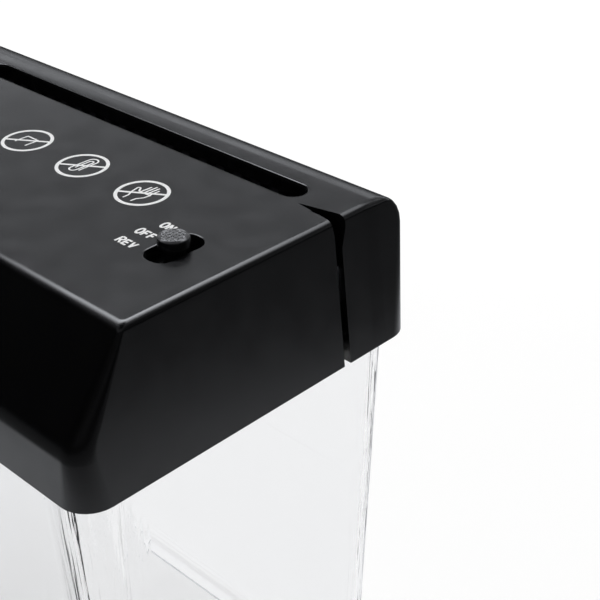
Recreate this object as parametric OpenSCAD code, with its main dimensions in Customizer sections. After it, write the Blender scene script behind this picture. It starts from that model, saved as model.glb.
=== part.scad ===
// Desktop strip-cut paper shredder: a powered cutting head that sits in the rim of a clear bin.
// Frame: +X to the right seen from the front, +Y to the back, +Z up; the origin is under the
// middle of the bin, on the surface that the shredder stands on. All sizes are in millimetres.

/* [Whole shredder] */
// Height of the top panel above the table
total_h = 153; // [110:1:220]
// Height of the head's sides
head_h = 34.7; // [34.5:0.1:40]
// Wall of the moulded cover
wall = 2.2; // [1.8:0.1:2.4]

/* [Form of the head] */
// How far each end face leans out from the top to the foot
end_flare = 3.4; // [2:0.1:5]
// How far the rear face leans out from the top to the foot
rear_draft = 1.5; // [0.5:0.1:2]
// How far the upper front panel slopes out
front_rake = 15; // [10:0.5:16]
// How far the lower front band leans out
front_draft = 0.5; // [0.1:0.1:1.5]
// Drop from the top panel to the crease of the front
crease_drop = 21.5; // [16:0.5:24]
// Half height of the soft blend at the crease
crease_blend = 2.5; // [1:0.5:4]
// Fillet round the top panel
top_fillet = 1.5; // [0.8:0.1:2]
// Rounding of the rear top edge
rear_round = 8; // [4:0.5:9]
// Corner radius of the top panel
corner_top = 1; // [0.6:0.1:4]
// Corner radius at the foot
corner_foot = 7; // [5:0.5:9]

/* [Paper slot] */
// Length of the slot
slot_len = 118; // [112:1:119]
// Width of the slot
slot_w = 6.4; // [5:0.1:6.8]
// From the slot's right end to the right edge of the top panel
slot_end_margin = 13.4; // [13:0.1:16]
// From the middle of the slot to the rear edge of the top panel
slot_back = 16.9; // [16.5:0.1:18]
// Chamfer round the mouth of the slot
slot_chamfer = 0.6; // [0.3:0.1:0.8]
// Wall of the throat that leads the sheet down
throat_wall = 1.3; // [1:0.1:1.6]

/* [Switch] */
// Width of the well that the knob slides in
well_w = 7; // [6:0.1:8]
// Length of the well
well_l = 13.2; // [13:0.1:15]
// Corner radius of the well
well_r = 3; // [1:0.1:3]
// Depth of the well
well_depth = 3; // [2.4:0.1:3.2]
// Chamfer round the mouth of the well
well_chamfer = 0.4; // [0.2:0.1:0.5]
// Floor of the well
well_floor = 1.4; // [1:0.1:1.6]
// From the middle of the well to the right edge of the top panel
well_from_right = 15.4; // [14:0.1:17]
// From the middle of the well to the front edge of the top panel
well_from_front = 25.9; // [23:0.1:28]
// Diameter of the knob
knob_d = 6.8; // [5.5:0.1:7.5]
// Height of the knob above the top panel
knob_proud = 3; // [2.6:0.1:4]
// Thickness of the knob's cap
knob_cap = 2.2; // [1.6:0.1:2.4]
// Travel of the knob to each side of OFF
knob_travel = 4; // [3:0.1:4.2]
// Side of the switch's square stem
stem_side = 2.2; // [1.6:0.1:2.4]
// Length, width and depth of the switch below its flange
switch_size = [8, 19, 8.6];
// Distance between the two switch screws
switch_pitch = 25; // [23:0.5:28]

/* [Letter opener] */
// Width of the slit that an envelope runs down
slit_w = 2; // [1.4:0.1:2.4]
// Depth of the slit behind the end face at the top panel
slit_depth = 6.6; // [5:0.1:7]
// From the middle of the slot to the middle of the slit
slit_offset = 4; // [3.5:0.1:5]
// How far the V of the mouth runs in from the end face
mouth_len = 11.3; // [9:0.1:11.8]
// Width of the mouth at the end face
mouth_w = 5.6; // [4:0.1:6.4]
// Depth of the V of the mouth
mouth_depth = 7; // [4:0.5:9]
// Wall of the pocket round the slit
pocket_wall = 1.3; // [1:0.1:1.5]
// Thickness of the opener blade
blade_t = 0.4; // [0.3:0.05:0.5]
// Length and height of the opener blade
blade_size = [8, 10];

/* [Bin] */
// Wall of the clear bin
bin_wall = 1.8; // [1.4:0.1:2]
// Floor of the bin
bin_floor = 2.2; // [1.8:0.1:4]
// Taper of the bin's sides in degrees
bin_taper = 2; // [0:0.25:3]
// Corner radius at the rim
bin_corner = 8; // [6:0.5:12]
// Rounding where the sides meet the base
bin_round = 2.4; // [1.2:0.2:4]
// Width of the ring that the bin stands on
foot_ring = 3; // [2:0.5:5]
// Height of that ring
foot_h = 0.8; // [0.5:0.1:1.2]

/* [Chassis] */
// How far the rim of the bin stands up inside the head
rim_lap = 4; // [3:0.5:5]
// Clearance to each side of the rim
rim_gap = 0.4; // [0.3:0.1:0.6]
// Gap between faces that rest on each other but come apart
seat_gap = 0.3; // [0.2:0.05:0.4]
// Floor of the chassis
floor_t = 2.4; // [2.2:0.1:3]
// Wall round the chassis
tray_wall = 1.6; // [1.2:0.1:2]
// Flange that rests on the rim of the bin
flange_t = 2; // [1.5:0.1:2.5]
// Height where the screw posts meet the bosses, above the foot of the head
split_h = 7.7; // [7:0.1:10]
// Distance of the case screws from the chassis corners
screw_inset = 5.4; // [5.2:0.1:5.6]

/* [Cutters] */
// Module of the teeth on the two cutter shafts
sync_module = 1; // [0.95:0.01:1.02]
// Teeth of each sync gear
sync_teeth = 14; // [14:1:14]
// How deep the discs cut into each other's path
disc_bite = 1.2; // [0.8:0.1:1.6]
// Thickness of a cutting disc
disc_t = 2.7; // [2:0.1:2.8]
// Distance from one disc to the next on a shaft
disc_pitch = 6; // [6:0.5:9]
// Notches round a disc
disc_notches = 8; // [4:1:12]
// Gap between a spacer and the disc that turns past it
spacer_gap = 0.6; // [0.4:0.1:1]
// Width across the flats of the hexagonal shaft
hex_af = 6; // [5.8:0.1:7]
// Radius of the round ends of the shafts
journal_r = 2.8; // [2.4:0.05:2.85]
// Width across the flats of the geared ends
drive_af = 4.6; // [4:0.1:4.8]
// Side plates of the cutter frame
plate_t = 1.5; // [1.2:0.1:2]
// Radius of the tie rods
rod_r = 1.5; // [1.2:0.1:1.7]
// Height of the tie rods above and below the shafts
rod_rise = 11; // [10.8:0.1:11.2]
// Thickness of a stripper finger
finger_t = 2.6; // [1.6:0.1:2.7]

/* [Drive] */
// Gap between the motor and the front of the cover, at the height of the shafts
motor_room = 5.26; // [5:0.01:12]
// Teeth of the motor pinion and of the gear that it drives
stage_1 = [10, 44];
// Teeth of the second stage
stage_2 = [11, 36];
// Teeth of the third stage, the last on the front shaft
stage_3 = [11, 26];
// Modules of the three stages
stage_module = [0.5, 0.7, 0.9];
// Face widths of the three large gears
stage_face = [4, 4, 5];
// Tilt of the gear line at each stage, in degrees
stage_tilt = [0, -5, 5];
// Thinning of every tooth, for backlash
backlash = 0.12; // [0.06:0.01:0.2]
// Radius of the motor
motor_r = 12.2; // [10:0.1:12.4]
// Length of the motor's can
motor_len = 27; // [22:0.5:32]
// Radius of the motor shaft
motor_shaft_r = 1; // [0.8:0.05:1.2]
// Radius of the gear axles
axle_r = 1.5; // [1.2:0.1:1.8]

/* [Batteries] */
// Gap between the battery bay and the cutting discs
cutter_room = 0.43; // [0.35:0.01:8]
// Radius of a cell
cell_r = 7.15; // [6.9:0.05:7.25]
// Length of a cell over its nub
cell_len = 50; // [49:0.1:50.2]
// Number of cells
cells = 4; // [4:1:4]
// Compressed length of a contact spring
spring_len = 2.2; // [1.6:0.1:2.6]
// Thickness of the contact plates
contact_t = 0.4; // [0.3:0.05:0.5]
// Gap between the motor's terminals and the wall of the battery bay
bay_from_motor = 10.8; // [2:0.1:12]
// Thickness of the battery door
door_t = 1.2; // [1:0.1:1.4]

/* [Supply socket] */
// Gap between the last gear and the socket
socket_room = 1.61; // [1:0.01:15]
// From the middle of the socket to the left end of the chassis
socket_from_left = 16.5; // [16:0.5:18]
// Height of the socket's middle above the foot of the head
socket_rise = 11.2; // [11.2:0.1:12.5]
// Radius of the socket's bore
socket_r = 2.85; // [2.4:0.05:3.2]

/* [Fits] */
// Radial clearance of a shaft that turns in its bore
run_fit = 0.05; // [0.02:0.01:0.08]
// Gap between parts that pass each other
pass_gap = 0.35; // [0.3:0.05:0.4]

/* [Hidden] */
$fn = 48;
corner_steps = 8;
over = 1;                                       // how far a cut runs past a face
thin = 0.01;

// Levels
head_z = total_h - head_h;
ceiling_z = total_h - wall;
floor_z = head_z + floor_t;
rim_z = head_z + rim_lap;
flange_z = rim_z + seat_gap;
split_z = head_z + split_h;
shaft_z = (floor_z + ceiling_z) / 2;

// Spacing of the shafts, and the discs that reach into each other's path
shaft_gap = sync_module * sync_teeth;
disc_r = (shaft_gap + disc_bite) / 2;
plate_margin = 0.5;
gear_gap = 0.8;
socket_body = [9, 12, 10];
bay_front_wall = 2.4;
bay_rear_wall = 1.2;

// Slopes of the front, above and below its crease
upper_slope = front_rake / crease_drop;
lower_slope = front_draft / (head_h - crease_drop);

// Width of the head, from the slot, the drive beside it and the socket
beside_rim = wall + bin_wall + 2 * rim_gap;
drive_w = plate_margin + plate_t + 3 * gear_gap + stage_face[0] + stage_face[1] + stage_face[2];
head_w = end_flare + slot_end_margin + slot_len + drive_w + socket_room + socket_body[0] / 2
    + socket_from_left + beside_rim + end_flare * rim_lap / head_h;

// Depth of the head, from the slot back to the rear and forward to the motor or the cells
function stage_reach(i, t) = stage_module[i] * (t[0] + t[1]) / 2;
behind_shaft = rear_draft + slot_back + shaft_gap / 2;
train_d = stage_reach(2, stage_3) * cos(stage_tilt[2]) + stage_reach(1, stage_2) * cos(stage_tilt[1])
    + stage_reach(0, stage_1) * cos(stage_tilt[0]);
motor_d = train_d + motor_r + motor_room + wall + front_rake + front_draft
    - upper_slope * (total_h - shaft_z);
bay_len = cell_len + spring_len + 2 * contact_t;
cells_d = disc_r + cutter_room + bay_rear_wall + bay_len + bay_front_wall + beside_rim
    + max(lower_slope, rear_draft / head_h) * rim_lap;
head_d = behind_shaft + max(motor_d, cells_d);

// Outline of the head at a depth d below the top panel
function half_x(d) = head_w / 2 - end_flare * (1 - d / head_h);
function rear_y(d) = head_d / 2 - rear_draft * (1 - d / head_h);
function front_y(d) =
    let (past = d - crease_drop + crease_blend,
         u = min(max(past, 0), 2 * crease_blend),
         turn = upper_slope - lower_slope)
    -(head_d / 2 - front_rake - front_draft + upper_slope * d
      - turn * u * u / (4 * crease_blend) - turn * max(past - 2 * crease_blend, 0));
function corner_r(d) = corner_top + (corner_foot - corner_top) * d / head_h;
function round_in(r, e) = e >= r ? 0 : r - sqrt(r * r - (r - e) * (r - e));
top_x = half_x(0);
top_front = front_y(0);
top_rear = rear_y(0);

// Bin rim and chassis, nested inside the head's foot
rim_d = total_h - rim_z;
bin_x = half_x(rim_d) - wall - rim_gap;
bin_y = min(-front_y(rim_d), rear_y(rim_d)) - wall - rim_gap;
tray_x = bin_x - bin_wall - rim_gap;
tray_y = bin_y - bin_wall - rim_gap;
tray_r = bin_corner - bin_wall - rim_gap;
flange_d = total_h - flange_z - flange_t;
flange_x = half_x(flange_d) - wall - seat_gap;
flange_y = min(-front_y(flange_d), rear_y(flange_d)) - wall - seat_gap;
post_x = tray_x - screw_inset;
post_y = tray_y - screw_inset;
post_r = 3.5;

// Slot, plates and discs along X
slot_y = top_rear - slot_back;
slot_x1 = top_x - slot_end_margin;
slot_x0 = slot_x1 - slot_len;
plate_x0 = slot_x0 - plate_margin;
plate_x1 = slot_x1 + plate_margin;
plate_out = plate_x0 - plate_t;
bush_flange = 1;
hex_x0 = plate_x0 + bush_flange + seat_gap;
hex_x1 = plate_x1 - bush_flange - seat_gap;
discs = floor((hex_x1 - hex_x0 - disc_t) / disc_pitch + 0.5);
disc_x0 = (plate_x0 + plate_x1) / 2 - ((discs - 1) * disc_pitch + disc_pitch / 2) / 2;

// Shafts, one each side of the paper path
front_shaft_at = [slot_y - shaft_gap / 2, shaft_z];
rear_shaft_at = [slot_y + shaft_gap / 2, shaft_z];
spacer_r = shaft_gap - disc_r - spacer_gap;
bush_r = 4.5;
bush_flange_r = 6;
rod_in = 2.6;                                   // rods stand this far outside the shafts
rod_places = [for (s = [-1, 1], up = [-1, 1])
    [slot_y + s * (shaft_gap / 2 + rod_in), shaft_z + up * rod_rise]];

// Edges that the frame keeps to, inside the cover and the tray
rear_in = rear_y(rear_round) - wall - seat_gap;
low_rear = tray_y - tray_wall - seat_gap;
low_z = flange_z + flange_t + seat_gap;
comb_low = floor_z + seat_gap;
comb_high = ceiling_z - 1.8;

// Gear train: from the front shaft forward to the motor
function forward(p, reach, tilt) = p - reach * [cos(tilt), sin(tilt)];
gear_2_at = forward(front_shaft_at, stage_reach(2, stage_3), stage_tilt[2]);
gear_1_at = forward(gear_2_at, stage_reach(1, stage_2), stage_tilt[1]);
motor_at = forward(gear_1_at, stage_reach(0, stage_1), stage_tilt[0]);
plane_a = plate_out - gear_gap;
plane_b = plane_a - stage_face[0] - gear_gap;
plane_c = plane_b - stage_face[1] - gear_gap;
plane_end = plane_c - stage_face[2];
cap_t = 2.4;                                    // rear cap of the motor
terminal_len = 3.4;

// Phase of a gear of n2 teeth at the angle phi from a gear of n1 teeth whose phase is a1
function mesh_phase(phi, a1, n1, n2) = phi + 180 - (0.5 - (phi - a1) * n1 / 360) * 360 / n2;
main_phase = 0;
gear_2_phase = mesh_phase(180 + stage_tilt[2], main_phase, stage_3[1], stage_3[0]);
gear_1_phase = mesh_phase(180 + stage_tilt[1], gear_2_phase, stage_2[1], stage_2[0]);
pinion_phase = mesh_phase(180 + stage_tilt[0], gear_1_phase, stage_1[1], stage_1[0]);
sync_phase = mesh_phase(0, 0, sync_teeth, sync_teeth);

// Battery bay
bay_gap = 0.3;
cell_pitch = 2 * (cell_r + bay_gap) + 0.1;
bay_wall = 1.5;
bay_x0 = plate_x0 + motor_len + cap_t + terminal_len + bay_from_motor + bay_wall;
bay_x1 = bay_x0 + cells * cell_pitch;
bay_roof = 1;
bay_y0 = -tray_y + bay_front_wall;
bay_y1 = bay_y0 + bay_len;
cell_z = floor_z + cell_r + 0.15;
ridge_t = 1;
ridge_z = cell_z + sqrt(pow(cell_r + bay_gap, 2) - pow((cell_pitch - ridge_t) / 2, 2));
nub_len = 1;
nub_r = 2.6;
door_lip = 1;
door_gap = 0.25;
knuckle_r = 0.9;
contact_z = floor_z + 1.2;
contact_h = 12;
hinge_y = bay_y1 + door_lip - door_gap;
function cell_x(i) = bay_x0 + (i + 0.5) * cell_pitch;

// Switch and its well
well_at = [top_x - well_from_right, top_front + well_from_front];
well_foot = total_h - well_depth - well_floor;
switch_flange_t = 0.8;
stem_foot = well_foot - switch_flange_t - 3.6;
knob_gap = knob_proud - knob_cap;

// Letter opener
slit_y = slot_y - slit_offset;
slit_low_z = low_z + seat_gap;
slit_low_x = half_x(total_h - slit_low_z) - wall;
slit_top_x = top_x - slit_depth;
blade_z = (total_h + slit_low_z) / 2 - 2;
blade_x = (slit_low_x + half_x(total_h - blade_z)) / 2 - 1.6;

// Supply socket
socket_x = socket_from_left - tray_x;
socket_z = head_z + socket_rise;
socket_face = rear_y(total_h - socket_z) - wall - seat_gap;
board_t = 1.6;

screw_r = 1.45;
screw_head = [2.8, 2];

// ---------------------------------------------------------------- helpers

// A solid through a stack of rings, highest first, each counter-clockwise seen from above
module loft(rings) {
    n = len(rings[0]);
    last = len(rings) - 1;
    polyhedron(
        points = [for (ring = rings) each ring],
        faces = concat(
            [[for (j = [n - 1:-1:0]) j]],
            [for (i = [0:last - 1], j = [0:n - 1])
                let (k = (j + 1) % n) [i * n + j, i * n + k, (i + 1) * n + k]],
            [for (i = [0:last - 1], j = [0:n - 1])
                let (k = (j + 1) % n) [i * n + j, (i + 1) * n + k, (i + 1) * n + j]],
            [[for (j = [0:n - 1]) last * n + j]]));
}

// A level rounded rectangle from x = -hx to hx and from y0 to y1
function ring(hx, y0, y1, r, z) = [
    for (c = [[hx - r, y0 + r, -90], [hx - r, y1 - r, 0], [r - hx, y1 - r, 90], [r - hx, y0 + r, 180]])
        for (s = [0:corner_steps])
            let (a = c[2] + 90 * s / corner_steps) [c[0] + r * cos(a), c[1] + r * sin(a), z]];

// The form of the head, or the same form drawn in by `inset` on every side but the foot
module head_form(inset, foot = 0) {
    edge = max(top_fillet - inset, 0.2);
    back = max(rear_round - inset, 1);
    depths = concat(
        [for (a = [0:15:90]) edge * (1 - cos(a))],
        [for (a = [15:15:90]) let (e = back * (1 - cos(a))) if (e > edge + 0.1) e],
        [for (k = [-1:0.5:1]) crease_drop - inset + k * crease_blend],
        [head_h - inset + foot]);
    loft([for (e = depths)
        let (d = e + inset, lap = round_in(edge, e))
        ring(half_x(d) - inset - lap, front_y(d) + inset + lap,
             rear_y(d) - inset - round_in(back, e), max(corner_r(d) - inset, 0.6), total_h - d)]);
}

// A flat rounded rectangle, given by its half sizes
module rounded(hx, hy, r) {
    square([2 * (hx - r), 2 * hy], center = true);
    square([2 * hx, 2 * (hy - r)], center = true);
    for (sx = [-1, 1], sy = [-1, 1]) translate([sx * (hx - r), sy * (hy - r)]) circle(r);
}

// The outline of the paper slot, grown by g
module slot_outline(g) {
    translate([slot_x0 + slot_w / 2, slot_y - slot_w / 2 - g])
        square([slot_len - slot_w, slot_w + 2 * g]);
    for (x = [slot_x0 + slot_w / 2, slot_x1 - slot_w / 2]) translate([x, slot_y]) circle(slot_w / 2 + g);
}

// Children drawn flat in (Y, Z) are raised along +X from x
module along_x(x, p = [0, 0]) {
    translate([x, p[0], p[1]]) rotate([90, 0, 90]) children();
}

module bar_x(x0, x1, p, r) {
    along_x(x0, p) cylinder(h = x1 - x0, r = r);
}

module block(low, high) {
    translate(low) cube(high - low);
}

// Involute teeth: half the angle that a tooth fills at a radius
function unwind(a) = tan(a) * 180 / PI - a;
function tooth_half(radius, n, m) =
    let (base = m * n / 2 * cos(20))
    90 / n - backlash / (m * n) * 180 / PI + unwind(20) - unwind(radius > base ? acos(base / radius) : 0);
function gear_outline(n, m) = [
    for (i = [0:n - 1], k = [0:5])
        let (side = k < 3 ? -1 : 1,
             level = [-1.2, 0, 0.9, 0.9, 0, -1.2][k],
             radius = m * (n / 2 + level))
        radius * [cos(i * 360 / n + side * tooth_half(radius, n, m)),
                  sin(i * 360 / n + side * tooth_half(radius, n, m))]];
module toothed(n, m, width, phase) {
    rotate([0, 0, phase]) linear_extrude(width) polygon(gear_outline(n, m));
}

// The flattened bore or end that carries a gear
module drive_flat(gap) {
    intersection() {
        circle(journal_r + gap);
        square([2 * journal_r + 1, drive_af + 2 * gap], center = true);
    }
}

// ---------------------------------------------------------------- covers

// V-shaped mouth of the letter opener, grown by g
module opener_mouth(g) {
    outer = half_x(head_h) + over;
    loft([
        [[top_x - mouth_len - g, slit_y, total_h + thin],
         [outer, slit_y - mouth_w * 0.4 - g, total_h + thin],
         [outer, slit_y + mouth_w * 0.6 + g, total_h + thin],
         [top_x - mouth_len - g, slit_y + thin, total_h + thin]],
        [[slit_top_x - g, slit_y - slit_w / 2 - g, total_h - mouth_depth],
         [outer, slit_y - slit_w / 2 - g, total_h - mouth_depth],
         [outer, slit_y + slit_w / 2 + g, total_h - mouth_depth],
         [slit_top_x - g, slit_y + slit_w / 2 + g, total_h - mouth_depth]]]);
}

// Slit that runs down the end of the head, grown by g, ending at the height z
module opener_slit(g, z) {
    outer = half_x(head_h) + over;
    translate([0, slit_y + slit_w / 2 + g, 0]) rotate([90, 0, 0]) linear_extrude(slit_w + 2 * g)
        polygon([[slit_top_x - g, total_h + thin], [slit_low_x - g, slit_low_z], [slit_low_x - g, z],
                 [outer, z], [outer, total_h + thin]]);
}

// What a chamfer takes off round the mouth of a rounded opening, given by its half sizes
module mouth_chamfer(hx, hy, r, c) {
    grow = c + thin;
    along_x(r - hx) linear_extrude(2 * (hx - r))
        polygon([[-hy, -c], [hy, -c], [hy + grow, thin], [-hy - grow, thin]]);
    if (hy > r) rotate([0, 0, 90]) along_x(r - hy) linear_extrude(2 * (hy - r))
        polygon([[-hx, -c], [hx, -c], [hx + grow, thin], [-hx - grow, thin]]);
    for (sx = [-1, 1], sy = hy > r ? [-1, 1] : [0]) translate([sx * (hx - r), sy * (hy - r), -c])
        cylinder(h = grow, r1 = r, r2 = r + grow);
}

module cover_insides() {
    // throat that guides the sheet down to the combs
    translate([0, 0, comb_high + seat_gap]) linear_extrude(total_h - comb_high) slot_outline(throat_wall);
    // block round the switch well, and the two bosses that the switch hangs on
    translate([well_at[0], well_at[1], well_foot]) {
        linear_extrude(well_depth + well_floor)
            rounded(well_w / 2 + pocket_wall, well_l / 2 + pocket_wall, well_r + pocket_wall);
        for (s = [-1, 1]) translate([0, s * switch_pitch / 2, 0])
            cylinder(h = well_depth + well_floor, r = 2.6);
    }
    // bosses for the case screws
    for (sx = [-1, 1], sy = [-1, 1]) translate([sx * post_x, sy * post_y, split_z])
        cylinder(h = total_h - split_z, r = post_r - 0.2);
    // pocket of the letter opener
    opener_mouth(pocket_wall);
    opener_slit(pocket_wall, slit_low_z);
    // stiffening ribs under the panel
    for (x = [plate_out - 18, (bay_x0 + plate_out) / 2, bay_x0 + 10, bay_x1 - 10])
        block([x - 0.7, top_front + 8, ceiling_z - 2], [x + 0.7, slot_y - 15, total_h]);
}

module top_cover() {
    color("#2b2c2f")
    difference() {
        union() {
            difference() {
                head_form(0);
                head_form(wall, over);
            }
            intersection() {
                head_form(wall / 2);
                cover_insides();
            }
        }
        translate([0, 0, comb_high - over]) linear_extrude(total_h) slot_outline(0);
        translate([(slot_x0 + slot_x1) / 2, slot_y, total_h])
            mouth_chamfer(slot_len / 2, slot_w / 2, slot_w / 2, slot_chamfer);
        translate([well_at[0], well_at[1], total_h])
            mouth_chamfer(well_w / 2, well_l / 2, well_r, well_chamfer);
        translate([well_at[0], well_at[1], total_h - well_depth]) linear_extrude(well_depth + over)
            rounded(well_w / 2, well_l / 2, well_r);
        translate([well_at[0], well_at[1], well_foot - over]) linear_extrude(total_h)
            square([stem_side + 0.8, stem_side + 2 * knob_travel + 1], center = true);
        for (s = [-1, 1]) translate([well_at[0], well_at[1] + s * switch_pitch / 2, well_foot - over])
            cylinder(h = over + 3, r = 0.9);
        for (sx = [-1, 1], sy = [-1, 1]) translate([sx * post_x, sy * post_y, split_z - over])
            cylinder(h = over + 12.5, r = screw_r + run_fit);
        opener_mouth(0);
        opener_slit(0, head_z - over);
        block([blade_x - blade_t / 2 - thin, slit_y - blade_size[0] / 2 - 2, blade_z - blade_size[1] / 2],
              [blade_x + blade_t / 2 + thin, slit_y + blade_size[0] / 2 + 2, blade_z + blade_size[1] / 2]);
        translate([socket_x, 0, socket_z]) rotate([-90, 0, 0]) cylinder(h = head_d, r = socket_r + 1.3);
    }
}

// Door opening and the step that the door's edge lies in
module door_opening() {
    block([bay_x0, bay_y0, head_z - over], [bay_x1, bay_y1, floor_z + over]);
    block([bay_x0 - door_lip, bay_y0 - door_lip, head_z - over],
          [bay_x1 + door_lip, bay_y1 + door_lip, head_z + door_t + seat_gap]);
    bar_x(bay_x0 - door_lip, bay_x1 + door_lip, [hinge_y, head_z + door_t / 2], knuckle_r + seat_gap);
}

module battery_bay() {
    top = cell_z + cell_r + bay_gap + bay_roof;
    lean_z = total_h - crease_drop;
    difference() {
        along_x(bay_x0 - bay_wall) linear_extrude(bay_x1 - bay_x0 + 2 * bay_wall)
            polygon([[-tray_y, head_z], [bay_y1 + bay_rear_wall, head_z], [bay_y1 + bay_rear_wall, top],
                     [front_y(total_h - top) + wall + seat_gap, top], [-tray_y, lean_z]]);
        // seats of the contact plates at both ends
        for (y = [bay_y0, bay_y1 - contact_t])
            block([bay_x0, y, head_z - over], [bay_x1, y + contact_t, contact_z + contact_h]);
        // one open chamber, with ridges between the cells above it
        block([bay_x0, bay_y0, head_z - over], [bay_x1, bay_y1, ridge_z]);
        for (i = [0:cells - 1]) translate([cell_x(i), bay_y0, cell_z]) rotate([-90, 0, 0])
            cylinder(h = bay_y1 - bay_y0, r = cell_r + bay_gap);
    }
}

module chassis() {
    outlet = [[plate_x0 + 2, slot_y - 12], [plate_x1 - 2, low_rear - 0.4]];
    color("#36373a")
    difference() {
        union() {
            translate([0, 0, head_z]) linear_extrude(floor_t) rounded(tray_x, tray_y, tray_r);
            translate([0, 0, head_z]) linear_extrude(flange_z + flange_t - head_z) difference() {
                rounded(tray_x, tray_y, tray_r);
                rounded(tray_x - tray_wall, tray_y - tray_wall, tray_r - tray_wall);
            }
            translate([0, 0, flange_z]) linear_extrude(flange_t) difference() {
                rounded(flange_x, flange_y, tray_r);
                rounded(tray_x - tray_wall, tray_y - tray_wall, tray_r - tray_wall);
            }
            for (sx = [-1, 1], sy = [-1, 1]) translate([sx * post_x, sy * post_y, head_z])
                cylinder(h = split_h, r = post_r);
            battery_bay();
            // cradle under the motor
            for (x = [plate_x0 + 5, plate_x0 + motor_len - 5])
                block([x - 1, motor_at[0] - motor_r, head_z], [x + 1, motor_at[0] + motor_r, shaft_z - 8]);
            // ribs that hold the two side plates upright
            for (y = [motor_at[0] - 6, gear_2_at[0] - 4]) {
                block([plate_out - 1.5, y - 3, head_z], [plate_out, y + 3, floor_z + 3]);
                block([plate_x0, y - 3, head_z], [plate_x0 + 1.5, y + 3, floor_z + 3]);
            }
            for (y = [slot_y - 9, slot_y + 3])
                block([plate_x1 + plate_t, y - 3, head_z], [plate_x1 + plate_t + 1.5, y + 3, floor_z + 2]);
            // pads under the socket board
            for (y = [low_rear - socket_body[1] - 2, low_rear - 4])
                block([socket_x - 4, y, head_z], [socket_x + 4, y + 2, socket_z - socket_body[2] / 2 - board_t]);
        }
        block([outlet[0][0], outlet[0][1], head_z - over], [outlet[1][0], outlet[1][1], floor_z + over]);
        door_opening();
        for (sx = [-1, 1], sy = [-1, 1]) translate([sx * post_x, sy * post_y, head_z - over]) {
            cylinder(h = split_h + 2 * over, r = screw_r + 0.25);
            cylinder(h = over + 3, r = screw_head[0] + 0.3);
        }
        bar_x(plate_x0, plate_x0 + motor_len, motor_at, motor_r + run_fit);
    }
}

module bin() {
    slope = tan(bin_taper);
    function side(z) = slope * (rim_z - z);
    function corner(z) = max(bin_corner - side(z) / 2, 2);
    outer = [for (z = [rim_z, bin_round]) [z, side(z)]];
    curve = [for (a = [15:15:90]) let (z = bin_round * (1 - sin(a)))
        [z, side(z) + bin_round * (1 - cos(a))]];
    color("#dfe6ea", 0.35)
    difference() {
        loft([for (p = concat(outer, curve))
            ring(bin_x - p[1], p[1] - bin_y, bin_y - p[1], corner(p[0]) - min(p[1] - side(p[0]), 1), p[0])]);
        loft([for (z = [rim_z + over, bin_floor + foot_h])
            ring(bin_x - side(z) - bin_wall, side(z) + bin_wall - bin_y, bin_y - side(z) - bin_wall,
                 corner(z) - bin_wall, z)]);
        translate([0, 0, -over]) linear_extrude(over + foot_h)
            rounded(bin_x - side(0) - bin_round - foot_ring, bin_y - side(0) - bin_round - foot_ring,
                    bin_corner / 2);
    }
}

module battery_door() {
    low = head_z;
    color("#2f3033")
    difference() {
        union() {
            block([bay_x0 - door_lip + door_gap, bay_y0 - door_lip + door_gap, low],
                  [bay_x1 + door_lip - door_gap, hinge_y, low + door_t]);
            // hooks along the rear edge, that the door swings about
            for (i = [0:cells - 1])
                bar_x(cell_x(i) - 4, cell_x(i) + 4, [hinge_y, low + door_t / 2], knuckle_r);
        }
        // finger notch at the front edge
        translate([(bay_x0 + bay_x1) / 2, bay_y0, low - over]) cylinder(h = over + 0.5, r = 6);
    }
}

// ---------------------------------------------------------------- switch and opener

module switch_knob() {
    color("#3a3b3e") translate([well_at[0], well_at[1], 0]) difference() {
        union() {
            translate([0, 0, total_h + knob_gap]) cylinder(h = knob_cap - 0.4, r = knob_d / 2);
            translate([0, 0, total_h + knob_proud - 0.4])
                cylinder(h = 0.4, r1 = knob_d / 2, r2 = knob_d / 2 - 0.35);
            translate([0, 0, total_h - well_depth + 0.6])
                cylinder(h = well_depth - 0.6 + knob_gap, r = knob_d / 3);
        }
        translate([-stem_side / 2, -stem_side / 2, total_h - well_depth])
            cube([stem_side, stem_side, well_depth - 1]);
    }
}

module switch_stem() {
    color("#d8d5cb") translate([well_at[0] - stem_side / 2, well_at[1] - stem_side / 2, stem_foot])
        cube([stem_side, stem_side, total_h - 1 - stem_foot]);
}

module switch_body() {
    slot = [stem_side + 0.6, stem_side + 2 * knob_travel + 0.6];
    color("#b9bcc0") translate([well_at[0], well_at[1], well_foot - switch_flange_t]) difference() {
        union() {
            linear_extrude(switch_flange_t) rounded(switch_size[0] / 2, switch_pitch / 2 + 2.8, 1.5);
            translate([-switch_size[0] / 2, -switch_size[1] / 2, -switch_size[2]]) cube(switch_size);
        }
        translate([-slot[0] / 2, -slot[1] / 2, -4]) cube([slot[0], slot[1], 4 + over]);
        for (s = [-1, 1]) translate([0, s * switch_pitch / 2, -over])
            cylinder(h = 3, r = 1);
    }
}

module switch_terminals() {
    foot = well_foot - switch_flange_t - switch_size[2];
    color("#c9a94e") for (x = [-2.2, 2.2], y = [-5, 0, 5])
        block([well_at[0] + x - 0.9, well_at[1] + y - 0.2, foot - 3.5],
              [well_at[0] + x + 0.9, well_at[1] + y + 0.2, foot]);
}

module switch_screws() {
    color("silver") for (s = [-1, 1])
        translate([well_at[0], well_at[1] + s * switch_pitch / 2, well_foot - switch_flange_t]) {
            translate([0, 0, -1]) cylinder(h = 1, r = 1.7);
            cylinder(h = switch_flange_t + 2.4, r = 0.85);
        }
}

module opener_blade() {
    color("#cfd3d6") along_x(blade_x - blade_t / 2, [slit_y, blade_z]) linear_extrude(blade_t)
        polygon([[-blade_size[0] / 2, -blade_size[1] / 2], [blade_size[0] / 2, -blade_size[1] / 2],
                 [blade_size[0] / 2, blade_size[1] / 2], [-blade_size[0] / 2, blade_size[1] / 5]]);
}

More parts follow.
